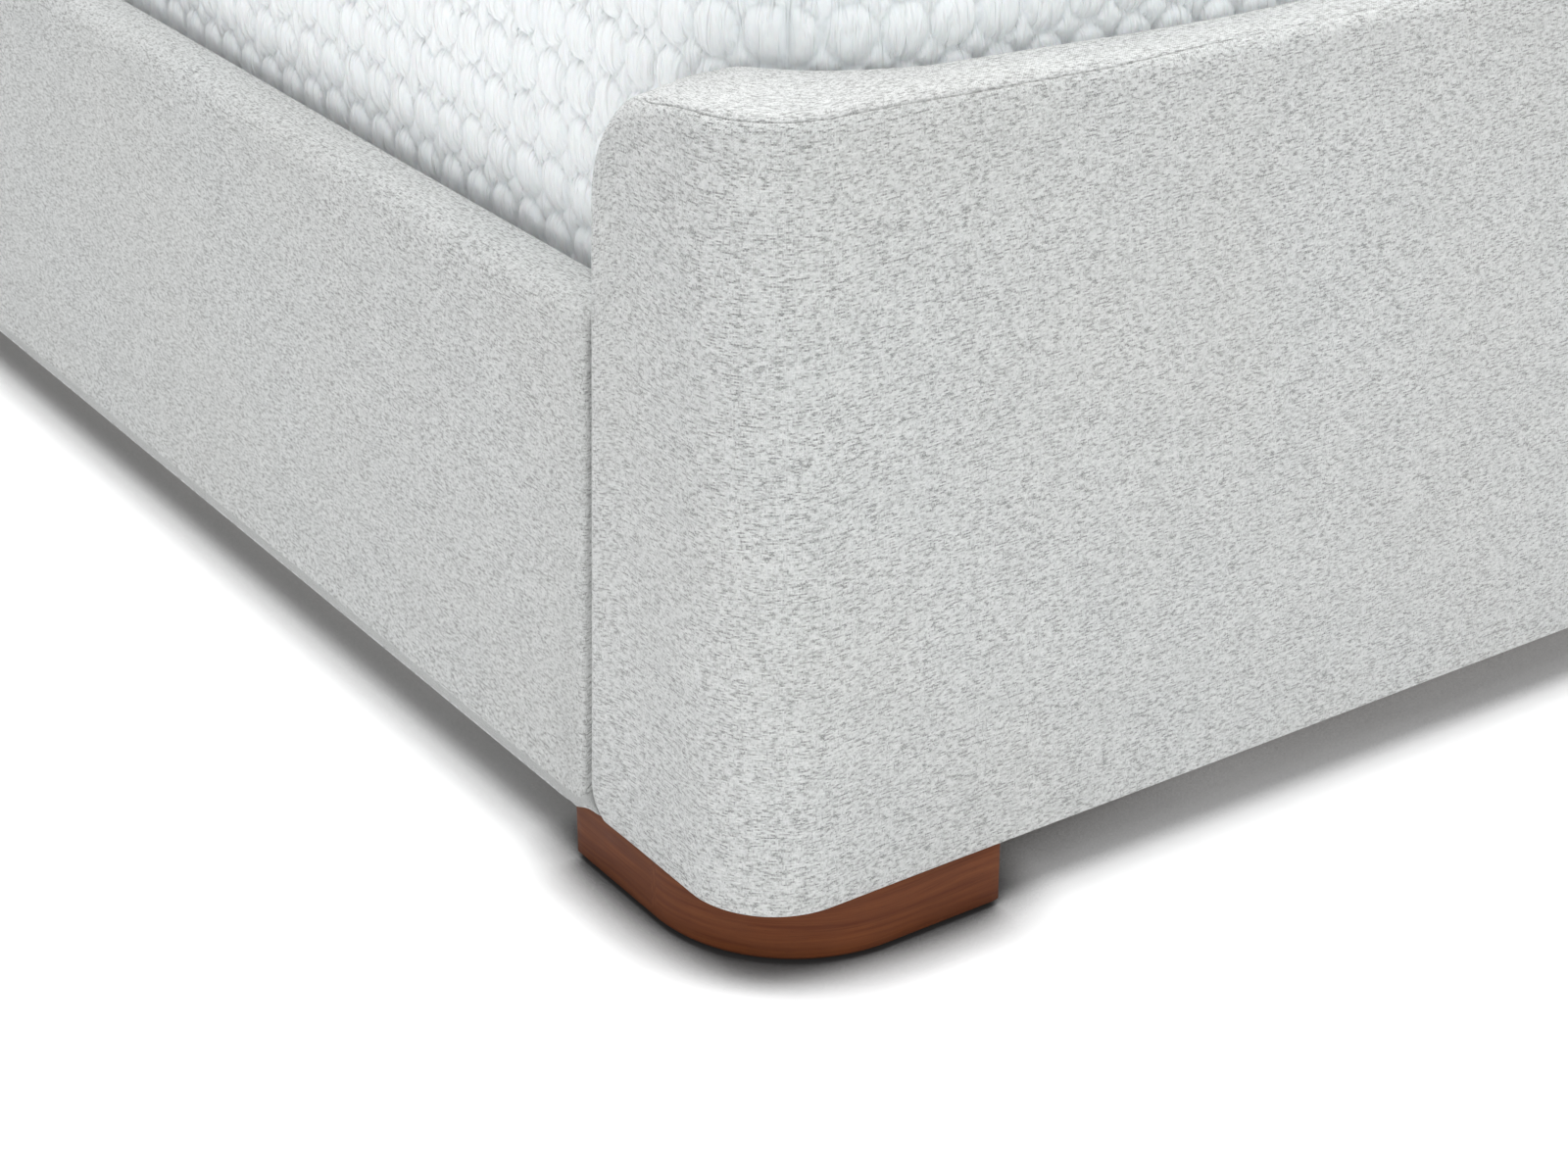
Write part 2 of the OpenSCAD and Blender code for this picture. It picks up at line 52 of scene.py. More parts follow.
FOOT_LOW, FOOT_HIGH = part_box("footboard_outer_cover")
RAIL_LOW, RAIL_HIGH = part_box("rail_cover_left")
BORDER_LOW, BORDER_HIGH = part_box("mattress_border")
LEFT, FRONT, CLEAR = FOOT_LOW  # the bed's left side, its foot end, and the upholstery's underside
WIDTH = FOOT_HIGH.x - FOOT_LOW.x
RETURN = FOOT_HIGH.y - FOOT_LOW.y  # depth of the wrapped ends
FOOT_TOP = FOOT_HIGH.z
BACK = BORDER_HIGH.y + (BORDER_LOW.y - FRONT)  # the headboard's back face at floor level
THICK = 0.060  # both boards
CORNER_R = 0.065  # outer plan radius of the boards
FILLET_R = 0.115  # inner plan radius of the boards
FOOT_ROUND = 0.075  # top corners of the footboard's returns, seen from the side
WING_ROUND = 0.104  # the same on the headboard
EDGE_OUT = 0.014  # rounding of the boards' outer top edges
EDGE_IN = 0.017  # rounding of their inner top edges
EDGE_LOW = 0.003  # rounding of their bottom edges
LEAN = 0.020  # how far the ends of the footboard's returns lean, over the rails' height
LOW_ROUND = 0.023  # rounding of the returns' lowest corners, seen from the side
CREST_RISE = 0.012  # how much the footboard's crest lifts over its corners
SWEEP_Z = 0.640  # where the headboard begins to sweep back
SWEEP_R = 0.950  # radius of that sweep at its outer face
SWEEP_A = math.radians(30)
MID_R = SWEEP_R + THICK / 2
HEAD_TOP = SWEEP_Z + MID_R * SWEEP_A  # the headboard's height, measured along its sweep

FABRIC = 0.0014  # thickness of the upholstery fabric
WRAP = 0.0105  # thickness of the boards' foam wrap
WRAP_DEPTH = 0.0021  # its face below the fabric's face

MATTRESS_R = 0.110  # plan radius of the mattress corners
MATTRESS_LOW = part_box("mattress_bottom_panel")[0].z
MATTRESS_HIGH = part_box("mattress_top_panel")[1].z
PLAN_LOW, PLAN_HIGH = np.array(BORDER_LOW[:2]), np.array(BORDER_HIGH[:2])
PLAN_MIDDLE = (PLAN_LOW + PLAN_HIGH) / 2
PLAN_REACH = (PLAN_HIGH - PLAN_LOW) / 2 - MATTRESS_R  # from the middle to where the corners begin

# ---- mesh helpers ----


def points_of(*coordinates):
    """Points from their coordinates, each an array or one number."""
    return np.stack(np.broadcast_arrays(*coordinates), -1)


def mesh_object(name, points, faces):
    mesh = bpy.data.meshes.new(name)
    faces = faces.tolist() if isinstance(faces, np.ndarray) else [list(map(int, face)) for face in faces]
    mesh.from_pydata(np.asarray(points, float).tolist(), [], faces)
    mesh.validate()
    mesh.shade_smooth()
    piece = bpy.data.objects.new(name, mesh)
    bpy.context.scene.collection.objects.link(piece)
    return piece


def grid_faces(rows, columns, first=0, wrap=False, wrap_rows=False):
    """Quads of a grid whose points run row by row."""
    j, i = np.meshgrid(np.arange(rows if wrap_rows else rows - 1),
                       np.arange(columns if wrap else columns - 1), indexing="ij")
    i2, j2 = (i + 1) % columns, (j + 1) % rows
    quads = np.stack([j * columns + i, j * columns + i2, j2 * columns + i2, j2 * columns + i], -1)
    return quads.reshape(-1, 4) + first


def loft(name, rings, cloths=None):
    """A closed solid through rings of points, with flat ends, and with cloth coordinates where given."""
    rings = np.asarray(rings)
    count, around = rings.shape[:2]
    faces = grid_faces(count, around, wrap=True).tolist()
    faces += [list(range(around)), list(range((count - 1) * around, count * around))]
    piece = mesh_object(name, rings.reshape(-1, 3), faces)
    if cloths is not None:
        cloth_coordinates(piece, cloths)
    weld(piece)
    return piece


def keep_edges(piece, degrees):
    """Edges sharper than this stay sharp in the shading."""
    piece.data.set_sharp_from_angle(angle=math.radians(degrees))


def point_values(piece, name, values, kind="FLOAT", field="value"):
    attribute = piece.data.attributes.new(name, kind, "POINT")
    attribute.data.foreach_set(field, np.ascontiguousarray(values, np.float32).ravel())


def cloth_coordinates(piece, values):
    """Stores where each point lies on the flat cloth, in metres, for the weave to follow."""
    point_values(piece, "cloth", values, "FLOAT_VECTOR", "vector")


def apply_modifiers(piece):
    with bpy.context.temp_override(object=piece, active_object=piece, selected_editable_objects=[piece]):
        for modifier in list(piece.modifiers):
            bpy.ops.object.modifier_apply(modifier=modifier.name)


def thicken(piece, thickness):
    """Turns a skin into a closed sheet, grown inwards."""
    modifier = piece.modifiers.new("thickness", "SOLIDIFY")
    modifier.thickness = thickness
    modifier.offset = -1
    modifier.use_rim = True
    apply_modifiers(piece)
    return piece


def rounded_outline(low, high, radii, inset, spacing):
    """Closed outline of a rectangle with rounded corners, shrunk by inset, and distances along the full one.

    The radii are those of the corners at low-low, high-low, high-high and low-high. The count of points
    doesn't depend on the inset, so outlines of different insets loft together."""
    least = 2e-4  # radius of a corner that the inset has used up
    signs = [(1, 1), (-1, 1), (-1, -1), (1, -1)]
    corners = [(low[0], low[1]), (high[0], low[1]), (high[0], high[1]), (low[0], high[1])]
    turns = [180, 270, 0, 90]

    def arc(k, shrink):
        r = radii[k]
        small = max(r - shrink, least)
        reach = max(r, shrink + least)
        middle = np.array(corners[k]) + reach * np.array(signs[k])
        count = max(3, int(r * math.pi / 2 / min(spacing, 0.35 * r + 0.001)) + 2)
        angle = np.radians(turns[k] + np.linspace(0, 90, count))
        return middle + small * points_of(np.cos(angle), np.sin(angle))

    full, shrunk = [], []
    for k in range(4):
        after = (k + 1) % 4
        whole, here, there = arc(k, 0), arc(k, inset), arc(after, inset)
        side = arc(after, 0)[0] - whole[-1]
        count = max(2, int(np.linalg.norm(side) / spacing))
        share = np.linspace(0, 1, count + 1)[1:-1][:, None]
        full += [whole, whole[-1] + side * share]
        shrunk += [here, here[-1] + (there[0] - here[-1]) * share]
    full, shrunk = np.concatenate(full), np.concatenate(shrunk)
    steps = np.linalg.norm(np.diff(full, axis=0), axis=1)
    return shrunk, np.concatenate([[0], np.cumsum(steps)])


def finish_piece(piece, body, material, replaced=()):
    piece.data.materials.clear()
    piece.data.materials.append(material)
    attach(piece, body)
    if replaced:
        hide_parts(*replaced)
    return piece


def waves(a, b, size, seed, count=9):
    """Smooth seeded unevenness from -1 to 1 over two coordinates, with features of about the given size."""
    r = np.random.default_rng(seed)
    total = np.zeros(np.broadcast(a, b).shape)
    for _ in range(count):
        angle, phase = r.uniform(0, 2 * np.pi, 2)
        k = 2 * np.pi / (size * r.uniform(0.6, 1.8))
        total += np.sin(k * (a * np.cos(angle) + b * np.sin(angle)) + phase)
    return total / count


def fillet(d, r):
    """How far a rounded edge of radius r has drawn in, at distance d from the edge."""
    t = np.clip(r - d, 0, r)
    return r - np.sqrt(np.maximum(r * r - t * t, 0))


def smoothstep(x):
    x = np.clip(x, 0, 1)
    return x * x * (3 - 2 * x)


# ---- a wrapped board ----
#
# A board is a thick sheet, s along its outer face in plan, z up it and n through it, bent round in plan.

STRAIGHT = RETURN - CORNER_R
ARC = CORNER_R * math.pi / 2
LENGTH = 2 * (STRAIGHT + ARC) + WIDTH - 2 * CORNER_R


def from_end(s):
    """Distance along a board from its nearer end."""
    return np.minimum(s, LENGTH - s)


def board_plan(s):
    """Outer and inner points in plan, (x, depth), at distance s along the outer face."""
    t = from_end(s)
    angle = np.clip((t - STRAIGHT) / CORNER_R, 0, np.pi / 2)
    outer = np.stack([CORNER_R - CORNER_R * np.cos(angle) + np.maximum(t - STRAIGHT - ARC, 0),
                      CORNER_R - CORNER_R * np.sin(angle) + np.maximum(STRAIGHT - t, 0)], -1)
    c = THICK + FILLET_R
    start = RETURN - c
    end = STRAIGHT + ARC + c - CORNER_R
    turn = np.clip((t - start) / (end - start), 0, 1) * np.pi / 2
    inner = np.stack([c - FILLET_R * np.cos(turn) + np.maximum(t - end, 0),
                      c - FILLET_R * np.sin(turn) + np.maximum(start - t, 0)], -1)
    right = s > LENGTH / 2
    outer[..., 0] = np.where(right, WIDTH - outer[..., 0], outer[..., 0])
    inner[..., 0] = np.where(right, WIDTH - inner[..., 0], inner[..., 0])
    return outer, inner


def joint_shift(x, z, away):
    """How far back the joint between a return and its rail lies.

    x is the distance in from the bed's side, and away the distance from the joint."""
    lean = LEAN * np.minimum((RAIL_HIGH.z - z) / (RAIL_HIGH.z - CLEAR), 1)
    under = np.clip(CLEAR + LOW_ROUND - z, 0, LOW_ROUND)
    rounded = LOW_ROUND - np.sqrt(LOW_ROUND**2 - under**2)
    return (lean - rounded) * smoothstep(1 - (x - 0.004) / 0.020) * smoothstep(1 - away / 0.06)


def crest_rise(t, z):
    """How much the footboard's top lifts, at distance t from its end along the outer face."""
    along_top = smoothstep((t - 0.05) / 0.08) * (1 - smoothstep((t - 0.22) / 0.36))
    return CREST_RISE * along_top * smoothstep((z - FOOT_TOP) / 0.12 + 1)


def board_point(s, z, n, head):
    """World position of a point of a board. n is its depth under the outer face or, below 0, the inner."""
    outer, inner = board_plan(s)
    across = inner - outer
    wide = np.linalg.norm(across, axis=-1)
    share = np.where(n < 0, 1 + n / wide, n / wide)
    plan = outer + across * share[..., None]
    x, depth = plan[..., 0], plan[..., 1]
    if head:
        angle = np.clip(z - SWEEP_Z, 0, None) / MID_R
        reach = SWEEP_R + depth
        depth = np.where(angle > 0, reach * np.cos(angle) - SWEEP_R, depth)
        z = np.where(angle > 0, SWEEP_Z + reach * np.sin(angle), z)
        return points_of(LEFT + x, BACK - depth, z)
    t = from_end(s)
    depth = depth + joint_shift(np.minimum(x, WIDTH - x), z, t)
    return points_of(LEFT + x, FRONT + depth, z + crest_rise(t, z))


def edge_distance(s, z, top, corner):
    """Distance from a board's outline, whose top corners are rounded."""
    t = from_end(s)
    in_corner = (t < corner) & (z > top - corner)
    rounded = corner - np.hypot(corner - t, z - (top - corner))
    return np.maximum(np.where(in_corner, rounded, np.minimum(t, top - z)), 0)


def column_places(corner, spacing):
    """Places along a board, close together round its ends and its corners."""
    half = np.concatenate([
        EDGE_OUT * (1 - np.cos(np.linspace(0, np.pi / 2, 9)))[:-1],
        np.linspace(EDGE_OUT, corner, 11)[:-1],
        np.linspace(corner, STRAIGHT, 6)[:-1] if STRAIGHT > corner + 0.004 else [corner],
        np.linspace(max(STRAIGHT, corner + 0.004), STRAIGHT + ARC, 22)[:-1],
        np.linspace(STRAIGHT + ARC, STRAIGHT + ARC + 0.12, 16)[:-1],
        np.arange(STRAIGHT + ARC + 0.12, LENGTH / 2 - spacing / 2, spacing)])
    return np.concatenate([half, [LENGTH / 2], LENGTH - half[::-1]])


def seam_angle(s, far):
    """How far round the outer top edge the seam lies, from 0 at the face to 90 degrees on top."""
    t = from_end(s)
    places = [0, 0.055, 0.075, 0.12, 0.20, 0.31, 0.42, 0.50, 0.62, 0.80]
    angles = [88, 84, 55, 50, 46, 38, 44, 66, 78, far]
    return np.radians(np.interp(t, places, angles))


ROW = 0.010  # height of the rows of a cover's faces
LEAST_ROW = 0.00012  # and the least that it may be round the rim
PADDING = 0.0005  # how far the padding's hollows draw in
SEAM_DEPTH, SEAM_WIDTH = 0.00035, 0.0012


def board_covers(name, head):
    """The outer and inner covers of a board, which meet in a seam along its rim."""
    top = HEAD_TOP if head else FOOT_TOP
    corner = WING_ROUND if head else FOOT_ROUND
    s = column_places(corner, 0.009)
    theta = seam_angle(s, 84)
    t = from_end(s)

    def arc_height(radius):
        """Height of the top corner's arc, at this radius, above its center."""
        return np.sqrt(np.maximum(radius**2 - (corner - np.minimum(t, corner))**2, 0))

    crest = np.where(t < corner, top - corner + arc_height(corner), top)

    # heights of the rows in each column, from the bottom up, with one row on the seam
    above, below = 7, 11
    steps = np.concatenate([np.linspace(0, 1, below)[:-1], 1 + np.linspace(0, 1, above)])
    part = steps[:, None]
    angle = np.where(part < 1, part * theta, theta + (part - 1) * (np.pi / 2 - theta))
    drop = EDGE_OUT * (1 - np.sin(angle))
    exact = np.where(t < corner, crest - (top - corner) - arc_height(corner - drop), drop)
    least = LEAST_ROW * np.arange(len(steps))[::-1][:, None]
    rim = crest - np.maximum(exact, least)
    low = CLEAR + np.concatenate([EDGE_LOW * (1 - np.cos(np.linspace(0, np.pi / 2, 5))),
                                  np.linspace(EDGE_LOW, LOW_ROUND + 0.002, 9)[1:]])
    middle_count = int((top - CLEAR) / ROW)
    share = np.linspace(0, 1, middle_count + 1)[1:-1][:, None]
    middle = low[-1] + (rim[0] - low[-1]) * share
    z = np.concatenate([np.repeat(low[:, None], len(s), 1), middle, rim])
    rows, columns = z.shape
    seam_row = rows - above

    d = edge_distance(s[None, :], z, top, corner)
    low_d = np.maximum(z - CLEAR, 0)
    padding = PADDING * (1 + waves(s[None, :], z, 0.26, 3 + head)) * smoothstep(d / 0.05)
    out = np.maximum(fillet(d, EDGE_OUT), fillet(low_d, EDGE_LOW)) + padding
    inn = np.maximum(fillet(d, EDGE_IN), fillet(low_d, EDGE_LOW)) + padding

    outer, inner = board_plan(s)
    wide = np.linalg.norm(inner - outer, axis=-1)[None, :]
    face_out = board_point(np.repeat(s[None, :], rows, 0), z, out, head)
    face_in = board_point(np.repeat(s[None, :], rows, 0), z, -inn, head)

    def run(points):
        """Distance up each column of a grid of points."""
        steps = np.linalg.norm(np.diff(points, axis=0), axis=-1)
        return np.concatenate([np.zeros((1, columns)), np.cumsum(steps, 0)])

    up = run(face_out)
    down = up[-1] + wide[0] - out[-1] - inn[-1] + run(face_in[::-1])[::-1]

    # stations across the rim, close together near the seam
    k = np.concatenate([np.linspace(0, 0.16, 7), np.linspace(0.16, 1, 9)[1:]])

    def rim_strip(row, column, k):
        """Points across the thickness along a row or a column, and their distances from the outer face."""
        n0, n1 = out[row, column], wide[0, column] - inn[row, column]
        distance = (n1 - n0)[..., None] * k
        ss = np.broadcast_to(s[column][..., None], distance.shape)
        zz = np.broadcast_to(z[row, column][..., None], distance.shape)
        return board_point(ss, zz, n0[..., None] + distance, head), distance

    every_column, every_row = np.arange(columns), np.arange(rows)
    top_place, top_run = rim_strip(rows - 1, every_column, k)
    left_place, left_run = rim_strip(every_row, 0, k)
    right_place, right_run = rim_strip(every_row, columns - 1, k)
    under = np.linspace(0, 0.3, 6)  # shares of the thickness that each cover's hem reaches under the board
    outer_hem, outer_run = rim_strip(0, every_column, under)
    inner_hem, inner_run = rim_strip(0, every_column, 1 - under[::-1])

    across = s[:, None]
    outer_part = [(face_out[:seam_row + 1], points_of(s, up[:seam_row + 1], 0))]
    inner_part = [(face_out[seam_row:], points_of(s, up[seam_row:], 0)), (face_in, points_of(s, down, 0)),
                  (top_place, points_of(across, up[-1][:, None] + top_run, 0)),
                  (left_place, points_of(-left_run, up[:, :1], 0)),
                  (right_place, points_of(LENGTH + right_run, up[:, :1], 0))]
    outer_under = (outer_hem, points_of(across, -outer_run, 0))
    inner_under = (inner_hem, points_of(across, (down[0] + wide[0])[:, None] - inner_run, 0))
    foam = skin(name + "_foam_wrap", outer_part + inner_part)
    push(foam, -WRAP_DEPTH)
    thicken(foam, WRAP)
    keep_within(foam, CLEAR + 0.0020, 0.0018)
    ends = face_out[:seam_row + 1]
    seam_line = np.concatenate([ends[:, 0], face_out[seam_row], ends[:, -1][::-1]])
    pieces = []
    for part_name, part in (("outer", outer_part + [outer_under]), ("inner", inner_part + [inner_under])):
        piece = skin(f"{name}_{part_name}_fabric", part)
        sink_seam(piece, seam_line, SEAM_DEPTH, SEAM_WIDTH)
        thicken(piece, FABRIC)
        keep_within(piece, CLEAR, 0)
        pieces.append(piece)
    return pieces, foam


def skin(name, grids):
    """One surface from grids of (position, cloth coordinates) that meet at their edges."""
    points, cloths, faces, count = [], [], [], 0
    for position, flat in grids:
        rows, columns = position.shape[:2]
        faces.append(grid_faces(rows, columns, count))
        points.append(position.reshape(-1, 3))
        cloths.append(flat.reshape(-1, 3))
        count += rows * columns
    piece = mesh_object(name, np.concatenate(points), np.concatenate(faces))
    cloth_coordinates(piece, np.concatenate(cloths))
    weld(piece)
    return piece


def places_and_normals(piece):
    mesh = piece.data
    place = np.empty(len(mesh.vertices) * 3, np.float32)
    normal = np.empty(len(mesh.vertices) * 3, np.float32)
    mesh.vertices.foreach_get("co", place)
    mesh.vertex_normals.foreach_get("vector", normal)
    return place.reshape(-1, 3), normal.reshape(-1, 3)


def put_places(piece, place):
    piece.data.vertices.foreach_set("co", np.ascontiguousarray(place, np.float32).ravel())
    piece.data.update()


def keep_within(piece, height, margin):
    """Holds a piece above a height and within the bed's width."""
    place, _ = places_and_normals(piece)
    place[:, 0] = np.clip(place[:, 0], LEFT + margin, LEFT + WIDTH - margin)
    place[:, 2] = np.maximum(place[:, 2], height)
    put_places(piece, place)


def push(piece, distance):
    """Moves a surface along its normals."""
    place, normal = places_and_normals(piece)
    put_places(piece, place + normal * distance)


def weld(piece, distance=1e-5):
    """Joins the grids of a piece where they meet, and turns all faces outwards."""
    bm = bmesh.new()
    bm.from_mesh(piece.data)
    bmesh.ops.remove_doubles(bm, verts=bm.verts, dist=distance)
    bmesh.ops.recalc_face_normals(bm, faces=bm.faces)
    bm.to_mesh(piece.data)
    bm.free()
    piece.data.shade_smooth()


def along(points, spacing):
    """A polyline resampled at even, close spacing."""
    keep = np.concatenate([[True], np.linalg.norm(np.diff(points, axis=0), axis=1) > 1e-7])
    points = points[keep]
    steps = np.concatenate([[0], np.cumsum(np.linalg.norm(np.diff(points, axis=0), axis=1))])
    at = np.arange(0, steps[-1], spacing)
    return np.stack([np.interp(at, steps, points[:, a]) for a in range(3)], -1)


def sink_seam(piece, line, depth, width):
    """Draws a surface in along a seam, with the slight puckers of its stitches, and marks the seam for the
    painted shade along its groove.
    """
    dense = along(line, 0.0015)
    batch = 4000  # points taken at a time, to save memory
    place, normal = places_and_normals(piece)
    seam_shade_mask = np.zeros(len(place))
    for first in range(0, len(place), batch):
        part = slice(first, first + batch)
        apart = (place[part]**2).sum(1)[:, None] - 2 * place[part] @ dense.T + (dense**2).sum(1)
        number = apart.argmin(1)
        near = np.linalg.norm(place[part] - dense[number], axis=1)
        pucker = 1 + 0.12 * np.sin(number * 2 * np.pi / 9.0) + 0.25 * np.sin(number * 2 * np.pi / 31.3)
        place[part] -= normal[part] * (depth * pucker * np.exp(-(near / width)**2))[:, None]
        seam_shade_mask[part] = np.exp(-(near / (0.6 * width))**2)
    put_places(piece, place)
    point_values(piece, "seam", seam_shade_mask)


# ---- side rails ----

RAIL_T = RAIL_HIGH.x - RAIL_LOW.x
RAIL_RADII = (0.004, 0.006, 0.012, 0.018)  # of the section: underside out, underside in, top in, top out
HEM = 0.0075  # how far the rails' fabric hangs below the boards, clear of the feet
JOINT_GAP = 0.0004  # between a rail's cover and the boards' returns
RAIL_FOAM = 0.0040  # the rails' foam below their cover
RAIL_FOAM_GAP = 0.0003  # between the foam and the board inside it
FOOT_ACROSS, FOOT_ALONG = 0.2010, 0.2115  # the feet's sides, across and along the bed


def from_side(x, side):
    """World X of a point x in from the bed's left side, or from its right."""
    return LEFT + x if side == "left" else LEFT + WIDTH - x


def end_stations(low, high, radius, spacing):
    """Places along a bar, close together at its rounded ends, and how far it has drawn in at each."""
    end = radius * (1 - np.cos(np.linspace(0, np.pi / 2, 6)))
    middle = np.linspace(low + radius, high - radius, int((high - low) / spacing))[1:-1]
    places = np.concatenate([low + end, middle, high - end[::-1]])
    return places, fillet(np.minimum(places - low, high - places), radius)


def rail_cover(side):
    low, high = (0, CLEAR), (RAIL_T, RAIL_HIGH.z)
    places, insets = end_stations(RAIL_LOW.y + JOINT_GAP, RAIL_HIGH.y - JOINT_GAP, 0.005, 0.012)
    # more rings where the cover leaves the joint and passes the foot, and smaller ones to close its ends
    close = RAIL_LOW.y + np.arange(0.007, 0.075, 0.003)
    places, insets = np.concatenate([places, close]), np.concatenate([insets, 0 * close])
    order = np.argsort(places)
    shrunk = np.linspace(RAIL_T / 2 - 0.0006, 0.008, 6)
    first, last = places.min(), places.max()
    places = np.concatenate([0 * shrunk + first, places[order], 0 * shrunk + last])
    insets = np.concatenate([shrunk, insets[order], shrunk[::-1]])
    front_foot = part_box("foot_front_left")[0].y + FOOT_ALONG
    rear_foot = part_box("foot_rear_left")[1].y - FOOT_ALONG
    rings, cloths = [], []
    for y, inset in zip(places, insets):
        outline, distance = rounded_outline(low, high, RAIL_RADII, inset, 0.006)
        x, z = outline.T
        end = min(y - RAIL_LOW.y, RAIL_HIGH.y - y)
        away = smoothstep(end / 0.03) * smoothstep((z - CLEAR) / 0.03) * smoothstep((RAIL_HIGH.z - z) / 0.03)
        hollow = 0.0006 * away * (1 + waves(y, z, 0.30, 11))
        x = np.where(x < RAIL_T / 2, x + hollow, x - hollow)
        z = z - 0.0012 * (1 + waves(y, x, 0.5, 12)) * (z > RAIL_HIGH.z - 0.004)
        drawn = y + joint_shift(x, z, y - RAIL_LOW.y)
        clear = np.minimum(drawn - front_foot, rear_foot - drawn)
        fold = np.exp(-((drawn - front_foot + 0.014) / 0.009)**2 - ((z - CLEAR - 0.006) / 0.016)**2)
        outside = np.clip(1 - x / 0.004, 0, 1) * (inset == 0)
        over_foot = smoothstep((drawn - front_foot + 0.026) / 0.022) * outside
        x = x - 0.0012 * fold * (x < 0.006)
        hanging = np.maximum(smoothstep((clear - 0.001) / 0.006), over_foot * (clear > -0.04))
        z = z - HEM * hanging * smoothstep((CLEAR + 0.04 - z) / 0.04)
        rings.append(points_of(from_side(x, side), drawn, z))
        # over a rounded end the cloth runs on by as much as the section draws in
        cloths.append(points_of(y + math.copysign(inset, y), distance, 0))
    return thicken(loft(f"rail_{side}_fabric", rings, cloths), FABRIC)


def rail_foam(side):
    """Foam over the outer face and the top of a rail's board."""
    board_low, board_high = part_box(f"rail_board_{side}")
    thick = board_high.x - board_low.x
    inner = RAIL_T - 0.0024
    face = inner - thick - RAIL_FOAM_GAP
    top, bottom = board_high.z + RAIL_FOAM_GAP, CLEAR + 0.003
    r_out, r_in = 0.0156, 0.0096
    angle = np.radians(np.linspace(0, 90, 7))
    crest = RAIL_HIGH.z - RAIL_FOAM
    round_in = points_of(inner - r_in + r_in * np.cos(angle), crest - r_in + r_in * np.sin(angle))
    round_out = points_of(RAIL_FOAM + r_out - r_out * np.sin(angle), crest - r_out + r_out * np.cos(angle))
    outside = points_of(RAIL_FOAM, np.linspace(crest - r_out, bottom, 20)[1:])
    section = np.concatenate([round_in, round_out, outside, [[face, bottom], [face, top], [inner, top]]])
    x, z = section.T
    length = RAIL_HIGH.y - RAIL_LOW.y
    rings = []
    for y in np.concatenate([np.linspace(0.0105, 0.07, 8), np.linspace(0.10, length - 0.004, 24)]):
        rings.append(points_of(from_side(x, side), RAIL_LOW.y + y + joint_shift(x, z, y), z))
    piece = loft(f"rail_{side}_foam_wrap", rings)
    keep_edges(piece, 40)
    return piece


# ---- feet and dust cloth ----

DUST_Z = CLEAR - 0.0007  # underside of the dust cloth, on top of the feet


def foot_piece(name):
    """A foot block with one large rounded corner, its edges eased, standing on its felt pads."""
    low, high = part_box(name)
    left, front = low.x < 0, low.y < 0
    corner = 0.110
    ease = 0.0016
    rings, grains = [], []
    radii = (corner, ease, ease, ease)
    for z, inset in ([(low.z, 0.0034), (low.z + 0.0004, 0.0030), (low.z + 0.0030, 0.0004)]
                     + [(z, 0.0) for z in np.linspace(low.z + 0.0036, DUST_Z - 0.0012, 6)]
                     + [(DUST_Z - 0.0004, 0.0004), (DUST_Z, 0.0012)]):
        outline, distance = rounded_outline((0, 0), (FOOT_ACROSS, FOOT_ALONG), radii, inset, 0.006)
        x = low.x + outline[:, 0] if left else high.x - outline[:, 0]
        y = low.y + outline[:, 1] if front else high.y - outline[:, 1]
        rings.append(points_of(x, y, z))
        grains.append(points_of(distance, z, 0))  # the face grain runs round the block's outline
    piece = loft(name + "_block", rings, grains)
    keep_edges(piece, 50)
    return piece


def dust_cloth(name, head):
    """Black cloth stapled under a board, from one return's end to the other."""
    margin = 0.011  # from the board's outline
    s = column_places(FOOT_ROUND, 0.02)
    outer, inner = board_plan(s)
    wide = np.linalg.norm(inner - outer, axis=-1)
    n = margin + (wide - 2 * margin)[:, None] * np.linspace(0, 1, 7)
    keep = (s > margin) & (s < LENGTH - margin)
    s, n = s[keep], n[keep]
    ss = np.broadcast_to(s[:, None], n.shape)
    sag = 0.00015 * (1 + waves(ss, n, 0.09, 31)) * smoothstep((n - margin) / 0.01)
    position = board_point(ss, CLEAR - 0.0002 - sag, n, head)
    piece = skin(name, [(position, points_of(ss, n, 0))])
    thicken(piece, 0.0003)
    name.split("_")[0] + "_outer_fabric"
    return piece


# ---- mattress ----

PEBBLE = (0.0350, 0.0370)  # pitch of the quilted pebbles, along and up
HALF_PEBBLE = (0.0166, 0.0180)  # their own half sizes
PEBBLE_R = 0.0170  # and about their mean, which turns shares of a pebble into metres
PEBBLE_EDGE = 0.0120  # how far in a pebble rises from its stitches
STITCH = 0.0011  # half the width of the stitched groove
RELIEF = 0.0070  # from the stitches to the top of a pebble
BORDER_BOTTOM = MATTRESS_LOW + 0.006
BORDER_TOP = MATTRESS_HIGH - 0.016
BORDER_T = 0.0085  # from the quilting's full height to the border's back
CORNER_BULGE, SIDE_BULGE = 0.0050, 0.0110  # how far the border swells at its corners and along its sides
TAPE = 0.0055  # half the height of the binding tapes


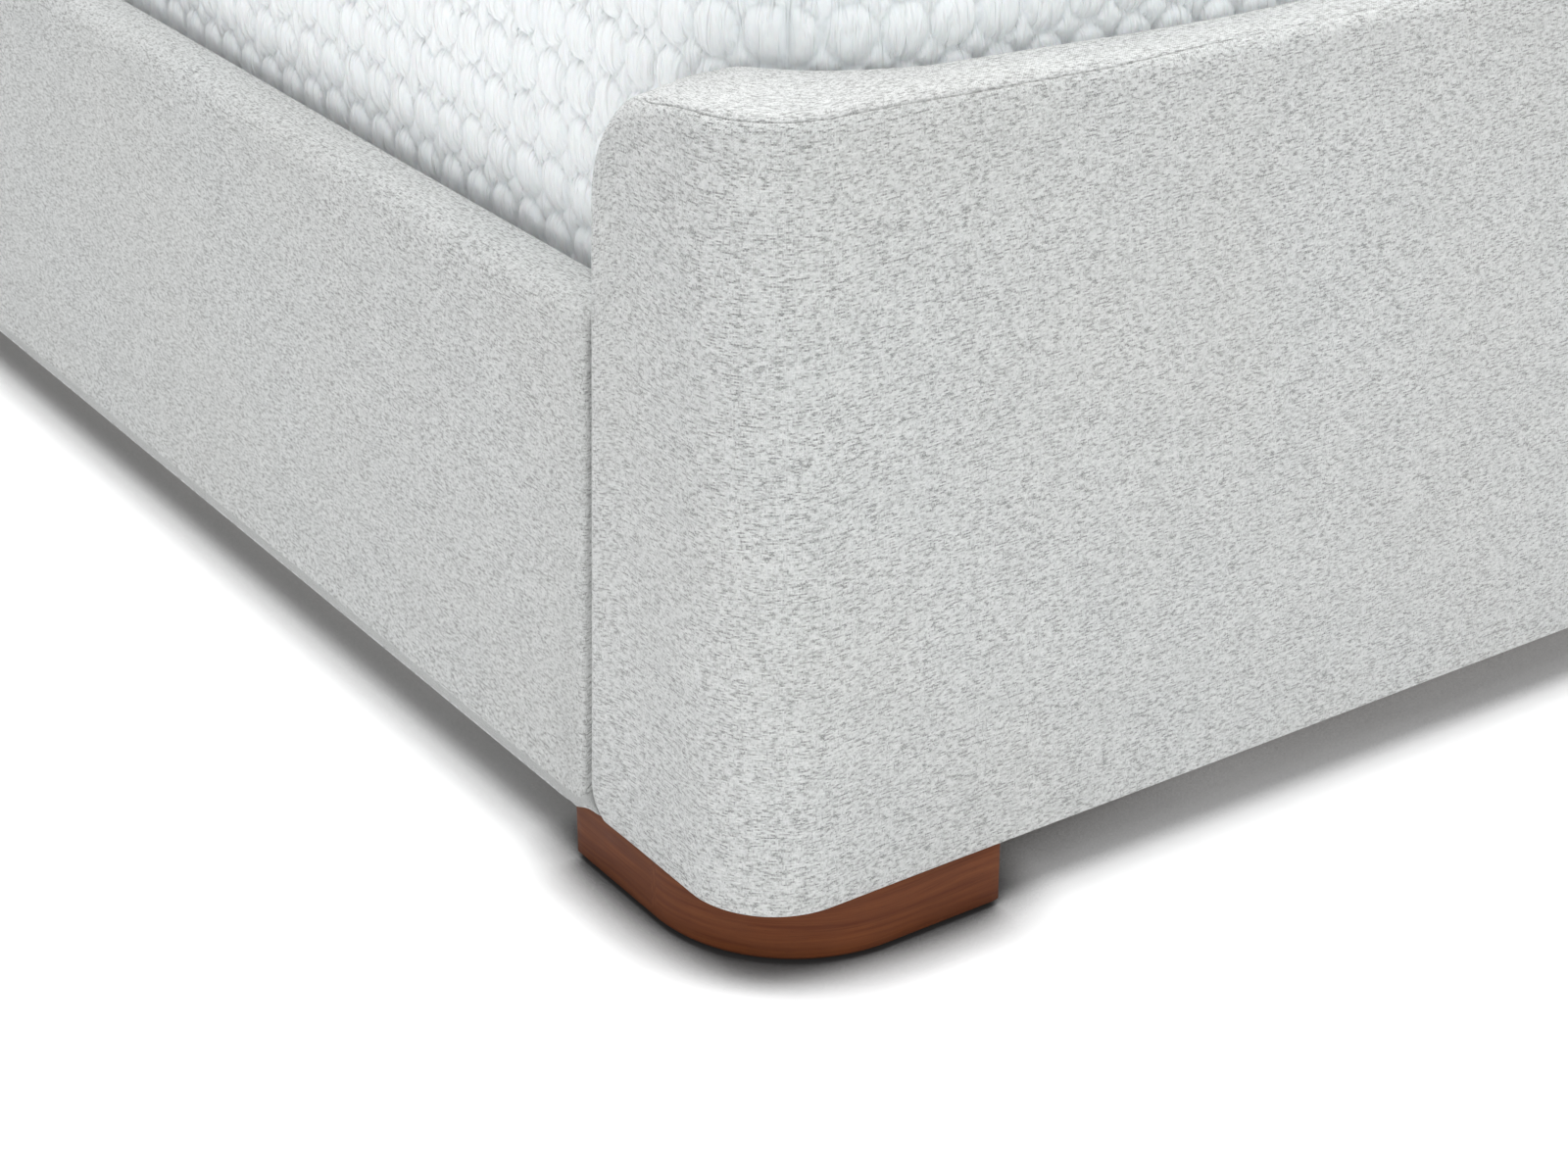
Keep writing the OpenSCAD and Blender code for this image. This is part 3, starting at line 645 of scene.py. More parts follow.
def quilting(u, v, seed):
    """Height of the quilting, 0 to 1, and how close the stitches are, 0 to 1, at places on the flat panel."""
    r = np.random.default_rng(seed)
    repeat = 64     # pebbles until their seeded differences come again
    stray = 0.0010  # how far a pebble lies from its place in the grid
    uneven = 0.0006
    table = r.uniform(-1, 1, (repeat, repeat, 7))
    best = np.full(u.shape, 9.0)
    height = np.zeros(u.shape)
    column, row = np.round(u / PEBBLE[0]).astype(int), np.round(v / PEBBLE[1]).astype(int)
    for dj in (-1, 0, 1):
        for di in (-1, 0, 1):
            i, j = column + di, row + dj
            cell = table[i % repeat, j % repeat]
            a = u - i * PEBBLE[0] - stray * cell[..., 0]
            b = v - j * PEBBLE[1] - stray * cell[..., 1]
            tilt = 0.13 * cell[..., 2]
            a, b = a + tilt * b, b - tilt * a
            half_a, half_b = HALF_PEBBLE[0] + uneven * cell[..., 3], HALF_PEBBLE[1] + uneven * cell[..., 4]
            rho = np.sqrt((a / half_a)**2 + (b / half_b)**2)
            apart = (rho - 1) * PEBBLE_R
            near = apart < best
            inside = np.clip(-apart / PEBBLE_EDGE, 0, 1)
            dome = np.sqrt(np.maximum(1 - (1 - inside)**2, 0))
            across = a / (0.35 + np.sqrt(np.maximum(1 - (b / half_b)**2, 0)))
            ripple = np.cos(across * 2 * np.pi / 0.0052 + 3 * cell[..., 5]) * smoothstep(inside / 0.5)
            strength = 0.075 * np.clip(0.55 + cell[..., 6], 0, 1)
            turn = np.arctan2(b / half_b, a / half_a)
            pucker = np.sin(19 * turn + 5 * cell[..., 2]) * np.exp(-((inside - 0.16) / 0.12)**2)
            puff = dome * (1 + strength * ripple) + 0.045 * pucker * (rho < 1)
            gap = np.clip(apart / 0.0050, 0, 1)
            star = 0.60 * np.sqrt(np.maximum(1 - (1 - gap)**2, 0))
            height = np.where(near, np.where(apart < 0, puff, star), height)
            best = np.where(near, apart, best)
    return height / 1.06, np.exp(-(best / STITCH)**2)


def border_panel(name, origin, tangent, outward, straight, spacing, seed, bulge):
    """A quilted side of the mattress, from the middle of one rounded corner to the middle of the next."""
    quarter = MATTRESS_R * math.pi / 4
    length = straight + 2 * quarter
    u = np.linspace(0, length, int(length / spacing) + 1)
    z = np.linspace(BORDER_BOTTOM, BORDER_TOP, int((BORDER_TOP - BORDER_BOTTOM) / spacing) + 1)
    uu, zz = np.meshgrid(u, z)
    height, stitch_shade_mask = quilting(uu - length / 2, zz, seed)
    edge, rim = np.minimum(uu, length - uu), np.minimum(zz - BORDER_BOTTOM, BORDER_TOP - zz)
    height = height * smoothstep(edge / 0.007) * smoothstep(rim / 0.010)
    # painted shade along the seams at the panel's ends as well
    stitch_shade_mask = np.maximum(stitch_shade_mask, np.exp(-(edge / 0.0015)**2))
    share = (zz - BORDER_BOTTOM) / (BORDER_TOP - BORDER_BOTTOM)
    uneven = 0.0035 * waves(uu, 0.6 * zz, 0.33, seed + 1)
    swell = CORNER_BULGE + (bulge - CORNER_BULGE + uneven) * smoothstep(edge / 0.22)
    depth = RELIEF * (1 - height) - swell * np.sin(np.pi * share)**0.8

    def place(uu, zz, depth):
        angle = (np.maximum(quarter - uu, 0) - np.maximum(uu - quarter - straight, 0)) / MATTRESS_R
        t = np.clip(uu - quarter, 0, straight) - (MATTRESS_R - depth) * np.sin(angle)
        n = (MATTRESS_R - depth) * np.cos(angle) - MATTRESS_R
        plan = np.array(origin) + t[..., None] * np.array(tangent) + n[..., None] * np.array(outward)
        return np.concatenate([plan, zz[..., None]], -1)

    front = place(uu, zz, depth)
    back_z = np.broadcast_to(np.array([[BORDER_BOTTOM], [BORDER_TOP]]), (2, len(u)))
    back = place(np.broadcast_to(u, (2, len(u))), back_z, BORDER_T)
    rows, columns = front.shape[:2]
    count = rows * columns
    low = np.arange(columns)
    high, under, over = count - columns + low, count + low, count + columns + low
    faces = grid_faces(rows, columns).tolist()
    for a, b in ((under, low), (high, over), (over, under)):
        faces += np.stack([a[:-1], a[1:], b[1:], b[:-1]], -1).tolist()
    faces += [[*range(k, count, columns), over[k], under[k]] for k in (0, columns - 1)]
    piece = mesh_object(name, np.concatenate([front.reshape(-1, 3), back.reshape(-1, 3)]), faces)
    flat = np.concatenate([points_of(uu, zz, 0), points_of(u, back_z, 0)])
    cloth_coordinates(piece, flat)
    return sewn(piece, stitch_shade_mask, 2 * columns)


def sewn(piece, stitch_shade_mask, others):
    """Marks a quilted panel's stitches, for the painted shade in their valleys, on none of its other points,
    and closes the panel.
    """
    point_values(piece, "stitch_shade_mask", np.concatenate([stitch_shade_mask.ravel(), np.zeros(others)]))
    weld(piece, 1e-7)
    keep_edges(piece, 62)
    return piece


def mattress_plan_grid(spacing):
    """A regular grid drawn in at its corners to fill the mattress's rounded outline."""
    places = zip(PLAN_LOW, PLAN_HIGH)
    xx, yy = np.meshgrid(*[np.linspace(low, high, int((high - low) / spacing) + 1) for low, high in places])
    a, b = past_reach(xx, yy)
    a, b = np.maximum(a, 0) / MATTRESS_R, np.maximum(b, 0) / MATTRESS_R
    both = (a > 0) & (b > 0)
    side_x, side_y = np.sign(xx - PLAN_MIDDLE[0]), np.sign(yy - PLAN_MIDDLE[1])
    new_x = PLAN_MIDDLE[0] + side_x * (PLAN_REACH[0] + MATTRESS_R * a * np.sqrt(1 - b * b / 2))
    new_y = PLAN_MIDDLE[1] + side_y * (PLAN_REACH[1] + MATTRESS_R * b * np.sqrt(1 - a * a / 2))
    return np.where(both, new_x, xx), np.where(both, new_y, yy)


def past_reach(x, y):
    """How far a place in plan lies past the start of the mattress's corners, each way."""
    return np.abs(x - PLAN_MIDDLE[0]) - PLAN_REACH[0], np.abs(y - PLAN_MIDDLE[1]) - PLAN_REACH[1]


def mattress_edge_distance(x, y):
    a, b = past_reach(x, y)
    return MATTRESS_R - np.hypot(np.maximum(a, 0), np.maximum(b, 0)) - np.minimum(np.maximum(a, b), 0)


def mattress_face(name, spacing, quilted):
    """The quilted top of the mattress or its plain underside, a closed panel rolled down at its edges."""
    x, y = mattress_plan_grid(spacing)
    d = np.maximum(mattress_edge_distance(x, y), 0)
    if quilted:
        height, stitch_shade_mask = quilting(x - PLAN_MIDDLE[0], y - PLAN_MIDDLE[1], 52)
        height = height * smoothstep(d / 0.012)
        roll = 0.016 * (1 - np.sqrt(np.clip(1 - (1 - np.clip(d / 0.024, 0, 1))**2, 0, 1)))
        soft = 0.0012 * (1 + waves(x, y, 0.6, 53))
        z = MATTRESS_HIGH - RELIEF * (1 - height) * smoothstep(d / 0.02) - roll * 0.9 - soft
        rim = BORDER_TOP - 0.002
    else:
        stitch_shade_mask = np.zeros(x.shape)
        z = MATTRESS_LOW + 0.0003 * (1 + waves(x, y, 0.4, 54)) + 0.006 * smoothstep(1 - d / 0.014)
        rim = BORDER_BOTTOM + 0.002
    inset = 0.0030
    shrink = 1 - inset / (PLAN_HIGH - PLAN_MIDDLE)
    x = PLAN_MIDDLE[0] + (x - PLAN_MIDDLE[0]) * shrink[0]
    y = PLAN_MIDDLE[1] + (y - PLAN_MIDDLE[1]) * shrink[1]
    rows, columns = x.shape
    number = np.arange(rows * columns).reshape(rows, columns)
    loop = np.concatenate([number[0, :-1], number[:-1, -1], number[-1, :0:-1], number[:0:-1, 0]])
    points = points_of(x, y, z).reshape(-1, 3)
    edge = rows * columns + np.arange(len(loop))
    faces = grid_faces(rows, columns).tolist()
    faces += points_of(loop, np.roll(loop, -1), np.roll(edge, -1), edge).tolist()
    faces.append(edge.tolist())
    points = np.concatenate([points, points[loop] * [1, 1, 0] + [0, 0, rim]])
    piece = mesh_object(name, points, faces)
    cloth_coordinates(piece, points * [1, 1, 0])
    return sewn(piece, stitch_shade_mask, len(loop))


def mattress_tape(name, z, turned):
    """A binding tape over the seam between the border and a face of the mattress."""
    rings, cloths = [], []
    for a in np.linspace(0, 2 * np.pi, 15)[:-1]:
        inset = 0.0034 - 0.0030 * math.copysign(abs(math.cos(a))**0.7, math.cos(a))
        height = z + TAPE * math.copysign(abs(math.sin(a))**0.8, math.sin(a))
        lean = 0.35 * turned * max(height - z, 0) if turned > 0 else 0.35 * max(z - height, 0)
        outline, distance = rounded_outline(PLAN_LOW, PLAN_HIGH, [MATTRESS_R] * 4, inset + lean, 0.012)
        ripple = 0.00025 * np.sin(distance * 2 * np.pi / 0.0045)
        rings.append(points_of(*outline.T, height + ripple))
        cloths.append(points_of(distance, a * 0.004, 0))
    count, around = len(rings), len(rings[0])
    piece = mesh_object(name, np.concatenate(rings), grid_faces(count, around, wrap=True, wrap_rows=True))
    cloth_coordinates(piece, cloths)
    point_values(piece, "stitch_shade_mask", np.zeros(count * around))
    weld(piece, 1e-7)
    return piece


def mattress_foam(name, low_z, high_z, radius, inset):
    """A block of the mattress's foam with rounded edges."""
    rings = []
    places, insets = end_stations(low_z, high_z, radius, 0.03)
    for z, more in zip(places, insets):
        outline, _ = rounded_outline(PLAN_LOW, PLAN_HIGH, [MATTRESS_R] * 4, inset + more, 0.03)
        rings.append(points_of(*outline.T, z))
    return loft(name, rings)


# ---- camera, floor and light ----


def build_camera():
    turn, down = -34.5, 27.07  # degrees from straight ahead and below level
    data = bpy.data.cameras.new("camera")
    data.lens = 71.0
    data.sensor_width = 36.0
    data.clip_end = 100
    camera = bpy.data.objects.new("camera", data)
    bpy.context.scene.collection.objects.link(camera)
    camera.location = (LEFT - 0.902, FRONT - 1.353, 1.130)
    camera.rotation_euler = (math.radians(90 - down), 0, math.radians(turn))
    bpy.context.scene.camera = camera


def area_light(name, place, aim, size, power):
    data = bpy.data.lights.new(name, "AREA")
    data.shape = "RECTANGLE"
    data.size, data.size_y = size
    data.energy = power
    light = bpy.data.objects.new(name, data)
    light.location = place
    light.rotation_euler = (Vector(aim) - Vector(place)).to_track_quat("-Z", "Y").to_euler()
    bpy.context.scene.collection.objects.link(light)


BACKDROP_SEEN = 0.61  # strength of the world to the camera
BACKDROP_LIGHT = 0.28  # strength of the world as a light


def floor_material():
    """Pale studio floor with a painted contact shadow: its colour darkens by ambient occlusion near the bed
    and its feet. It also glows a little where nothing stands near, a painted light that keeps it white around
    the bed.
    """
    material, n = new_material("floor_paint")
    contact = n.add("AmbientOcclusion", {"Distance": 0.054}, output=1, samples=8)
    openness = n.add("AmbientOcclusion", {"Distance": 0.45}, output=1, samples=8)
    color = n.mix(n.noise(n.object_space(), 3, 2), (0.925, 0.925, 0.925), (0.945, 0.945, 0.945))
    # painted shadow: the floor's colour darkens where the bed or a foot stands close
    near = n.math("POWER", n.ramp(contact, 0.5, 1.0, 1.0, 0.0), 0.85)
    shade = n.math("MAXIMUM", near, n.ramp(openness, 0.18, 0.435, 1.0, 0.0))
    # painted light: the floor glows where nothing stands near
    painted_glow = n.times(n.ramp(openness, 0.25, 0.43, 0.0, 0.34), n.math("SUBTRACT", 1.0, near))
    n.shader(n.mix(shade, color, (0.10, 0.10, 0.10)), 0.9, Specular_IOR_Level=0.1,
             Emission_Color=(1, 1, 1), Emission_Strength=painted_glow)
    return material


def build_stage():
    reach = 30
    corners = [(-reach, -reach, 0), (reach, -reach, 0), (reach, reach, 0), (-reach, reach, 0)]
    floor = mesh_object("floor", corners, [(0, 1, 2, 3)])
    floor.data.materials.append(floor_material())
    world = bpy.data.worlds.new("studio")
    world.use_nodes = True
    background = world.node_tree.nodes["Background"]
    background.inputs["Color"].default_value = (0.96, 0.98, 1.0, 1)
    # the backdrop is seen as bright as the far floor, and lights the bed less
    seen = world.node_tree.nodes.new("ShaderNodeLightPath").outputs["Is Camera Ray"]
    strength = world.node_tree.nodes.new("ShaderNodeMath")
    strength.operation = "MULTIPLY_ADD"
    strength.inputs[1].default_value = BACKDROP_SEEN - BACKDROP_LIGHT
    strength.inputs[2].default_value = BACKDROP_LIGHT
    world.node_tree.links.new(seen, strength.inputs[0])
    world.node_tree.links.new(strength.outputs[0], background.inputs["Strength"])
    bpy.context.scene.world = world
    area_light("overhead", (0.0, -0.1, 3.4), (0, 0, 0), (4.0, 4.4), 222)
    area_light("front_fill", (-1.6, -5.2, 1.1), (-0.2, -1.0, 0.3), (4.0, 1.4), 53)
    area_light("left_fill", (-5.2, -1.4, 1.1), (-0.9, -0.4, 0.3), (4.0, 1.4), 26)
    area_light("back_fill", (3.6, 4.2, 1.6), (0.2, 0.6, 0.4), (4.0, 1.6), 44)
    bpy.context.scene.view_settings.view_transform = "Standard"


# ---- materials ----


class Nodes:
    """A short way to write a material's nodes. Colours are given as red, green and blue."""

    def __init__(self, tree):
        self.tree = tree
        self.bsdf = tree.nodes["Principled BSDF"]

    def add(self, kind, inputs=(), output=0, **settings):
        node = self.tree.nodes.new("ShaderNode" + kind)
        for key, value in settings.items():
            setattr(node, key, value)
        for key, value in dict(inputs).items():
            self.put(node.inputs[key], value)
        return node.outputs[output]

    def put(self, socket, value):
        if isinstance(value, bpy.types.NodeSocket):
            self.tree.links.new(value, socket)
        else:
            socket.default_value = (*value, 1) if socket.type == "RGBA" else value

    def object_space(self):
        return self.add("TexCoord", output=3)

    def attribute(self, name, output=2):
        """A value stored at the mesh's points, or with output 1 a vector."""
        return self.add("Attribute", output=output, attribute_name=name)

    def math(self, operation, a, b=0.0, clamp=False):
        return self.add("Math", {0: a, 1: b}, operation=operation, use_clamp=clamp)

    def times(self, a, b):
        return self.math("MULTIPLY", a, b)

    def plus(self, a, b):
        return self.math("ADD", a, b)

    def ridges(self, value, pitch):
        """Rounded ridges from 0 to 1, one for each pitch."""
        return self.math("ABSOLUTE", self.math("SINE", self.times(value, math.pi / pitch)))

    def ramp(self, value, low, high, first=0.0, last=1.0):
        return self.add("MapRange", {"Value": value, "From Min": low, "From Max": high,
                                     "To Min": first, "To Max": last})

    def mix(self, share, a, b):
        return self.add("Mix", {0: share, 6: a, 7: b}, output=2, data_type="RGBA")

    def blend(self, a, b, value, low, high, first=0.0, last=1.0):
        """Colour a, with a share of b that goes from first to last as the value goes from low to high."""
        return self.mix(self.ramp(value, low, high, first, last), a, b)

    def scaled(self, vector, scale):
        return self.add("VectorMath", {0: vector, 1: scale}, operation="MULTIPLY")

    def shifted(self, vector, noise, reach):
        return self.add("VectorMath", {0: noise, 1: reach, 2: vector}, operation="MULTIPLY_ADD")

    def split(self, vector):
        return self.add("SeparateXYZ", {0: vector}).node.outputs

    def noise(self, vector, scale, detail, roughness=0.5, distortion=0.0):
        return self.add("TexNoise", {"Vector": vector, "Scale": scale, "Detail": detail,
                                     "Roughness": roughness, "Distortion": distortion})

    def bump(self, height, strength, distance, normal=None):
        inputs = {"Height": height, "Strength": strength, "Distance": distance}
        if normal is not None:
            inputs["Normal"] = normal
        return self.add("Bump", inputs)

    def shader(self, base, roughness, normal=None, **constants):
        inputs = {"Base Color": base, "Roughness": roughness}
        if normal is not None:
            inputs["Normal"] = normal
        inputs.update({name.replace("_", " "): value for name, value in constants.items()})
        for name, value in inputs.items():
            self.put(self.bsdf.inputs[name], value)


def new_material(name):
    material = bpy.data.materials.new(name)
    material.use_nodes = True
    return material, Nodes(material.node_tree)


def darkened(color, share):
    return tuple(share * c for c in color)


def linen(name):
    """Heathered plain weave: each thread has its own run of tones. It follows the cloth coordinates."""
    material, n = new_material(name)
    # gap is a painted shade colour, laid in the gaps between threads and along the seams
    light, dark, gap = (0.655, 0.667, 0.661), (0.195, 0.198, 0.195), (0.20, 0.20, 0.19)
    pitch = 0.00098                      # from one thread to the next
    run_upright, run_level = 330, 190    # how fast the tones change along the two sets of threads
    unlike = 7.31                        # step that keeps neighbouring threads' tones apart
    flat = n.attribute("cloth", 1)
    place = n.shifted(flat, n.noise(flat, 45, 1), (0.0022, 0.0022, 0.0))
    x, y, _ = n.split(place)
    across, up = n.math("DIVIDE", x, pitch), n.math("DIVIDE", y, pitch)
    column, row = n.math("FLOOR", across), n.math("FLOOR", up)
    over = n.math("FLOORED_MODULO", n.plus(column, row), 2.0)
    upright = n.noise(n.add("CombineXYZ", {0: n.times(column, unlike), 1: n.times(y, run_upright)}), 1, 1)
    level = n.noise(n.add("CombineXYZ", {0: n.times(x, run_level), 1: n.times(row, unlike), 2: 9.0}), 1, 1)
    speck = n.noise(n.scaled(flat, (650, 650, 1)), 1, 2, 0.7)
    patch = n.noise(flat, 50, 3, 0.65)
    mottle = n.noise(flat, 20, 3, 0.6)
    broad = n.noise(flat, 4.5, 2)
    dim_upright = n.times(n.ramp(upright, 0.51, 0.68), n.ramp(over, 0, 1, 0.72, 0.40))
    dim_level = n.times(n.ramp(level, 0.50, 0.67), n.ramp(over, 0, 1, 0.70, 1.0))
    darker = n.times(n.math("MAXIMUM", dim_upright, dim_level), n.ramp(patch, 0.33, 0.66, 0.78, 0.96))
    darker = n.math("ADD", darker, n.ramp(speck, 0.58, 0.80, 0, 0.15), clamp=True)
    lighter = n.math("MAXIMUM", n.ramp(upright, 0.44, 0.30, 0, 0.6), n.ramp(level, 0.44, 0.30))
    color = n.mix(darker, light, dark)
    color = n.mix(n.times(lighter, 0.50), color, (0.86, 0.87, 0.86))
    color = n.blend(color, (0.42, 0.445, 0.445), mottle, 0.35, 0.65, 0, 0.09)
    color = n.blend(color, (0.60, 0.575, 0.53), broad, 0.38, 0.62, 0, 0.08)
    threads = n.ramp(over, 0, 1, n.ridges(across, 1), n.ridges(up, 1))
    # painted shade: the gaps between the threads are darkened
    color = n.blend(color, gap, threads, 0.0, 0.45, 0.22, 0.0)
    # painted shade along each seam's groove, broken into dashes like stitches
    stitches = n.ramp(n.noise(n.scaled(flat, (260, 60, 1)), 1, 1), 0.40, 0.60, 0.15, 0.60)
    color = n.mix(n.times(n.attribute("seam"), stitches), color, gap)
    height = n.plus(n.plus(n.times(threads, 0.8), n.times(upright, 0.7)), n.times(level, 0.8))
    n.shader(color, n.ramp(speck, 0.2, 0.8, 0.86, 0.98), n.bump(height, 0.6, 0.0008),
             Sheen_Weight=0.2, Sheen_Roughness=0.5, Specular_IOR_Level=0.2)
    return material


def knit_material(name, base, shade, painted_glow, sheen, painted_valley_shade):
    """White stretch-knit ticking: fine wales and a soft sheen. It follows the cloth coordinates.

    Its stitched valleys and the gaps between its loops get painted shade, the valleys by a given share. Its
    emission is a painted light that lifts its shade."""
    material, n = new_material(name)
    flat = n.attribute("cloth", 1)
    x, y, _ = n.split(flat)
    loops = n.times(n.ridges(x, 0.0009), n.ridges(n.plus(y, n.times(x, 0.5)), 0.0011))
    fine = n.noise(flat, 700, 3, 0.6)
    broad = n.noise(flat, 14, 3, 0.6)
    gathers = n.noise(n.scaled(flat, (170, 26, 1)), 1, 2, 0.55, 0.6)
    color = n.blend(base, shade, broad, 0.3, 0.7, 0, 0.30)
    # painted shade: a bluish grey in the gaps between the loops
    color = n.blend(color, (0.52, 0.57, 0.60), loops, 0.0, 0.4, 0.10, 0.0)
    # painted shade in the stitched valleys of the quilting
    color = n.mix(n.times(n.attribute("stitch_shade_mask"), painted_valley_shade), color, (0.50, 0.56, 0.58))
    height = n.plus(loops, n.times(fine, 0.6))
    # the emission below is a painted light that lifts the knit's shade
    n.shader(color, n.ramp(fine, 0.3, 0.7, 0.72, 0.88),
             n.bump(height, 0.30, 0.0004, n.bump(gathers, 0.9, 0.0060)),
             Sheen_Weight=sheen, Subsurface_Weight=0.08, Specular_IOR_Level=0.3,
             Emission_Color=(0.96, 0.98, 1.0), Emission_Strength=painted_glow)
    return material


def foam_material(name, base):
    """Cut open-cell foam."""
    material, n = new_material(name)
    place = n.object_space()
    cells = n.add("TexVoronoi", {"Vector": place, "Scale": 700})
    color = n.blend(base, darkened(base, 0.88), n.noise(place, 5, 3), 0.3, 0.7)
    color = n.blend(color, (0.45, 0.38, 0.22), cells, 0.0, 0.5, 0.35, 0)
    height = n.plus(cells, n.noise(place, 300, 3))
    n.shader(color, 0.95, n.bump(height, 0.6, 0.0008), Subsurface_Weight=0.15)
    return material


def wood(name, along_axis, light, dark, ring=0.012):
    """Sawn timber with growth rings seen along the grain."""
    material, n = new_material(name)
    place = n.object_space()
    stretch, fiber_stretch = [1.0] * 3, [420.0] * 3
    stretch[along_axis], fiber_stretch[along_axis] = 0.06, 9.0
    grain_place = n.scaled(place, stretch)
    shifted = n.shifted(grain_place, n.noise(grain_place, 9, 3), (0.05, 0.05, 0.05))
    rings = n.add("TexWave", {"Vector": shifted, "Scale": 0.32 / ring, "Distortion": 5.0, "Detail": 3.0,
                              "Detail Scale": 1.4},
                  output=1, wave_type="RINGS", rings_direction="XYZ"[along_axis])
    fibers = n.noise(n.scaled(place, fiber_stretch), 1, 3, 0.6)
    mixed = n.plus(n.times(rings, 0.6), n.times(fibers, 0.4))
    color = n.blend(light, dark, mixed, 0.25, 0.85)
    color = n.blend(color, darkened(light, 0.72), n.noise(grain_place, 4, 2), 0.3, 0.7, 0, 0.35)
    color = n.blend(color, darkened(dark, 0.45), fibers, 0.62, 0.78, 0, 0.5)
    height = n.plus(n.times(rings, 0.35), fibers)
    n.shader(color, n.ramp(fibers, 0.2, 0.8, 0.49, 0.67), n.bump(height, 0.35, 0.0005))
    return material


def stained_wood(name):
    """Reddish-brown stained hardwood under satin lacquer. Its grain runs along the first cloth coordinate."""
    material, n = new_material(name)
    flat = n.attribute("cloth", 1)
    bent = n.shifted(flat, n.noise(n.scaled(flat, (6, 22, 1)), 1, 2), (0.0, 0.012, 0.0))
    bands = n.noise(n.scaled(bent, (5, 170, 1)), 1, 3, 0.55)
    fibers = n.noise(n.scaled(bent, (28, 1300, 1)), 1, 3, 0.6)
    pores = n.noise(n.scaled(bent, (110, 2600, 1)), 1, 1)
    cloud = n.noise(n.scaled(flat, (16, 30, 1)), 1, 3, 0.6)
    color = n.blend((0.190, 0.059, 0.019), (0.092, 0.023, 0.008), bands, 0.32, 0.68)
    color = n.blend(color, (0.128, 0.044, 0.020), cloud, 0.35, 0.70, 0, 0.65)
    color = n.blend(color, (0.045, 0.012, 0.006), fibers, 0.45, 0.75, 0, 0.35)
    color = n.blend(color, (0.020, 0.006, 0.004), pores, 0.66, 0.80, 0, 0.6)
    height = n.plus(n.times(fibers, 0.4), n.ramp(pores, 0.62, 0.80, 1.0, 0.0))
    n.shader(color, n.ramp(cloud, 0.3, 0.7, 0.46, 0.62), n.bump(height, 0.22, 0.00025),
             Specular_IOR_Level=0.14)
    return material


def steel_material(name):
    """Zinc-plated steel, lightly brushed."""
    material, n = new_material(name)
    place = n.object_space()
    scratch = n.noise(n.scaled(place, (3000, 3000, 200)), 1, 2)
    color = n.blend((0.56, 0.57, 0.58), (0.42, 0.43, 0.45), n.noise(place, 60, 3), 0.3, 0.7)
    n.shader(color, n.ramp(scratch, 0.2, 0.8, 0.28, 0.46), n.bump(scratch, 0.12, 0.0002), Metallic=1.0)
    return material


def felt_material(name):
    material, n = new_material(name)
    hair = n.noise(n.object_space(), 900, 4, 0.7, 1.5)
    color = n.blend((0.15, 0.12, 0.095), (0.06, 0.045, 0.035), hair, 0.3, 0.7)
    n.shader(color, 0.97, n.bump(hair, 0.8, 0.001), Sheen_Weight=0.4)
    return material


def webbing_material(name):
    """Black woven polypropylene strap."""
    material, n = new_material(name)
    x, y, _ = n.split(n.object_space())
    height = n.times(n.ridges(x, 0.0022), n.ridges(y, 0.0016))
    color = n.mix(height, (0.008, 0.008, 0.009), (0.035, 0.035, 0.038))
    n.shader(color, n.ramp(height, 0, 1, 0.75, 0.5), n.bump(height, 0.6, 0.0008))
    return material


def spunbond_material(name):
    """Black non-woven dust cloth with its embossed dots."""
    material, n = new_material(name)
    place = n.object_space()
    fibers = n.noise(n.scaled(place, (900, 900, 900)), 1, 4, 0.7, 2.0)
    dots = n.add("TexVoronoi", {"Vector": place, "Scale": 420, "Randomness": 0.15})
    color = n.blend((0.010, 0.010, 0.011), (0.045, 0.045, 0.047), fibers, 0.35, 0.7)
    n.shader(color, 0.9, n.bump(n.plus(fibers, n.ramp(dots, 0.1, 0.35)), 0.5, 0.0006))
    return material


def plastic_material(name):
    """Moulded black nylon with a fine spark texture."""
    material, n = new_material(name)
    place = n.object_space()
    grain = n.noise(place, 1500, 2, 0.6)
    color = n.blend((0.018, 0.018, 0.020), (0.030, 0.030, 0.032), n.noise(place, 40, 2), 0.3, 0.7)
    n.shader(color, n.ramp(grain, 0.3, 0.7, 0.42, 0.6), n.bump(grain, 0.25, 0.0004))
    return material


# ---- build ----

build_camera()
build_stage()

LINEN = linen("heather_linen")
FOAM = foam_material("wadding_foam", (0.90, 0.87, 0.74))
CORE_FOAM = foam_material("mattress_foam", (0.86, 0.80, 0.58))
# the knit of the border, base and tapes: its emission is a painted light that lifts its shade, and its
# stitched valleys get painted shade
KNIT = knit_material("quilted_knit", (0.865, 0.880, 0.885), (0.80, 0.835, 0.845), painted_glow=0.08, sheen=0.3,
                     painted_valley_shade=0.18)
# a darker, shaded copy of the knit: painted shade on the top, because the light from overhead would wash its
# quilting out; its stitched valleys get more painted shade
SHADED_TOP_KNIT = knit_material("quilted_top_knit", (0.500, 0.512, 0.516), (0.455, 0.472, 0.480), painted_glow=0.0,
                         sheen=0.1, painted_valley_shade=0.5)
DUST = spunbond_material("dust_cloth")
STAINED = stained_wood("stained_wood")

for board, head in (("footboard", False), ("headboard", True)):
    covers, wrap = board_covers(board, head)
    for cover, face in zip(covers, ("outer", "inner")):
        finish_piece(cover, "frame", LINEN, [f"{board}_{face}_cover"])
    finish_piece(wrap, "frame", FOAM, [board + "_foam"])
    finish_piece(dust_cloth(board + "_dust_cloth", head), "frame", DUST, ["dust_covers"])

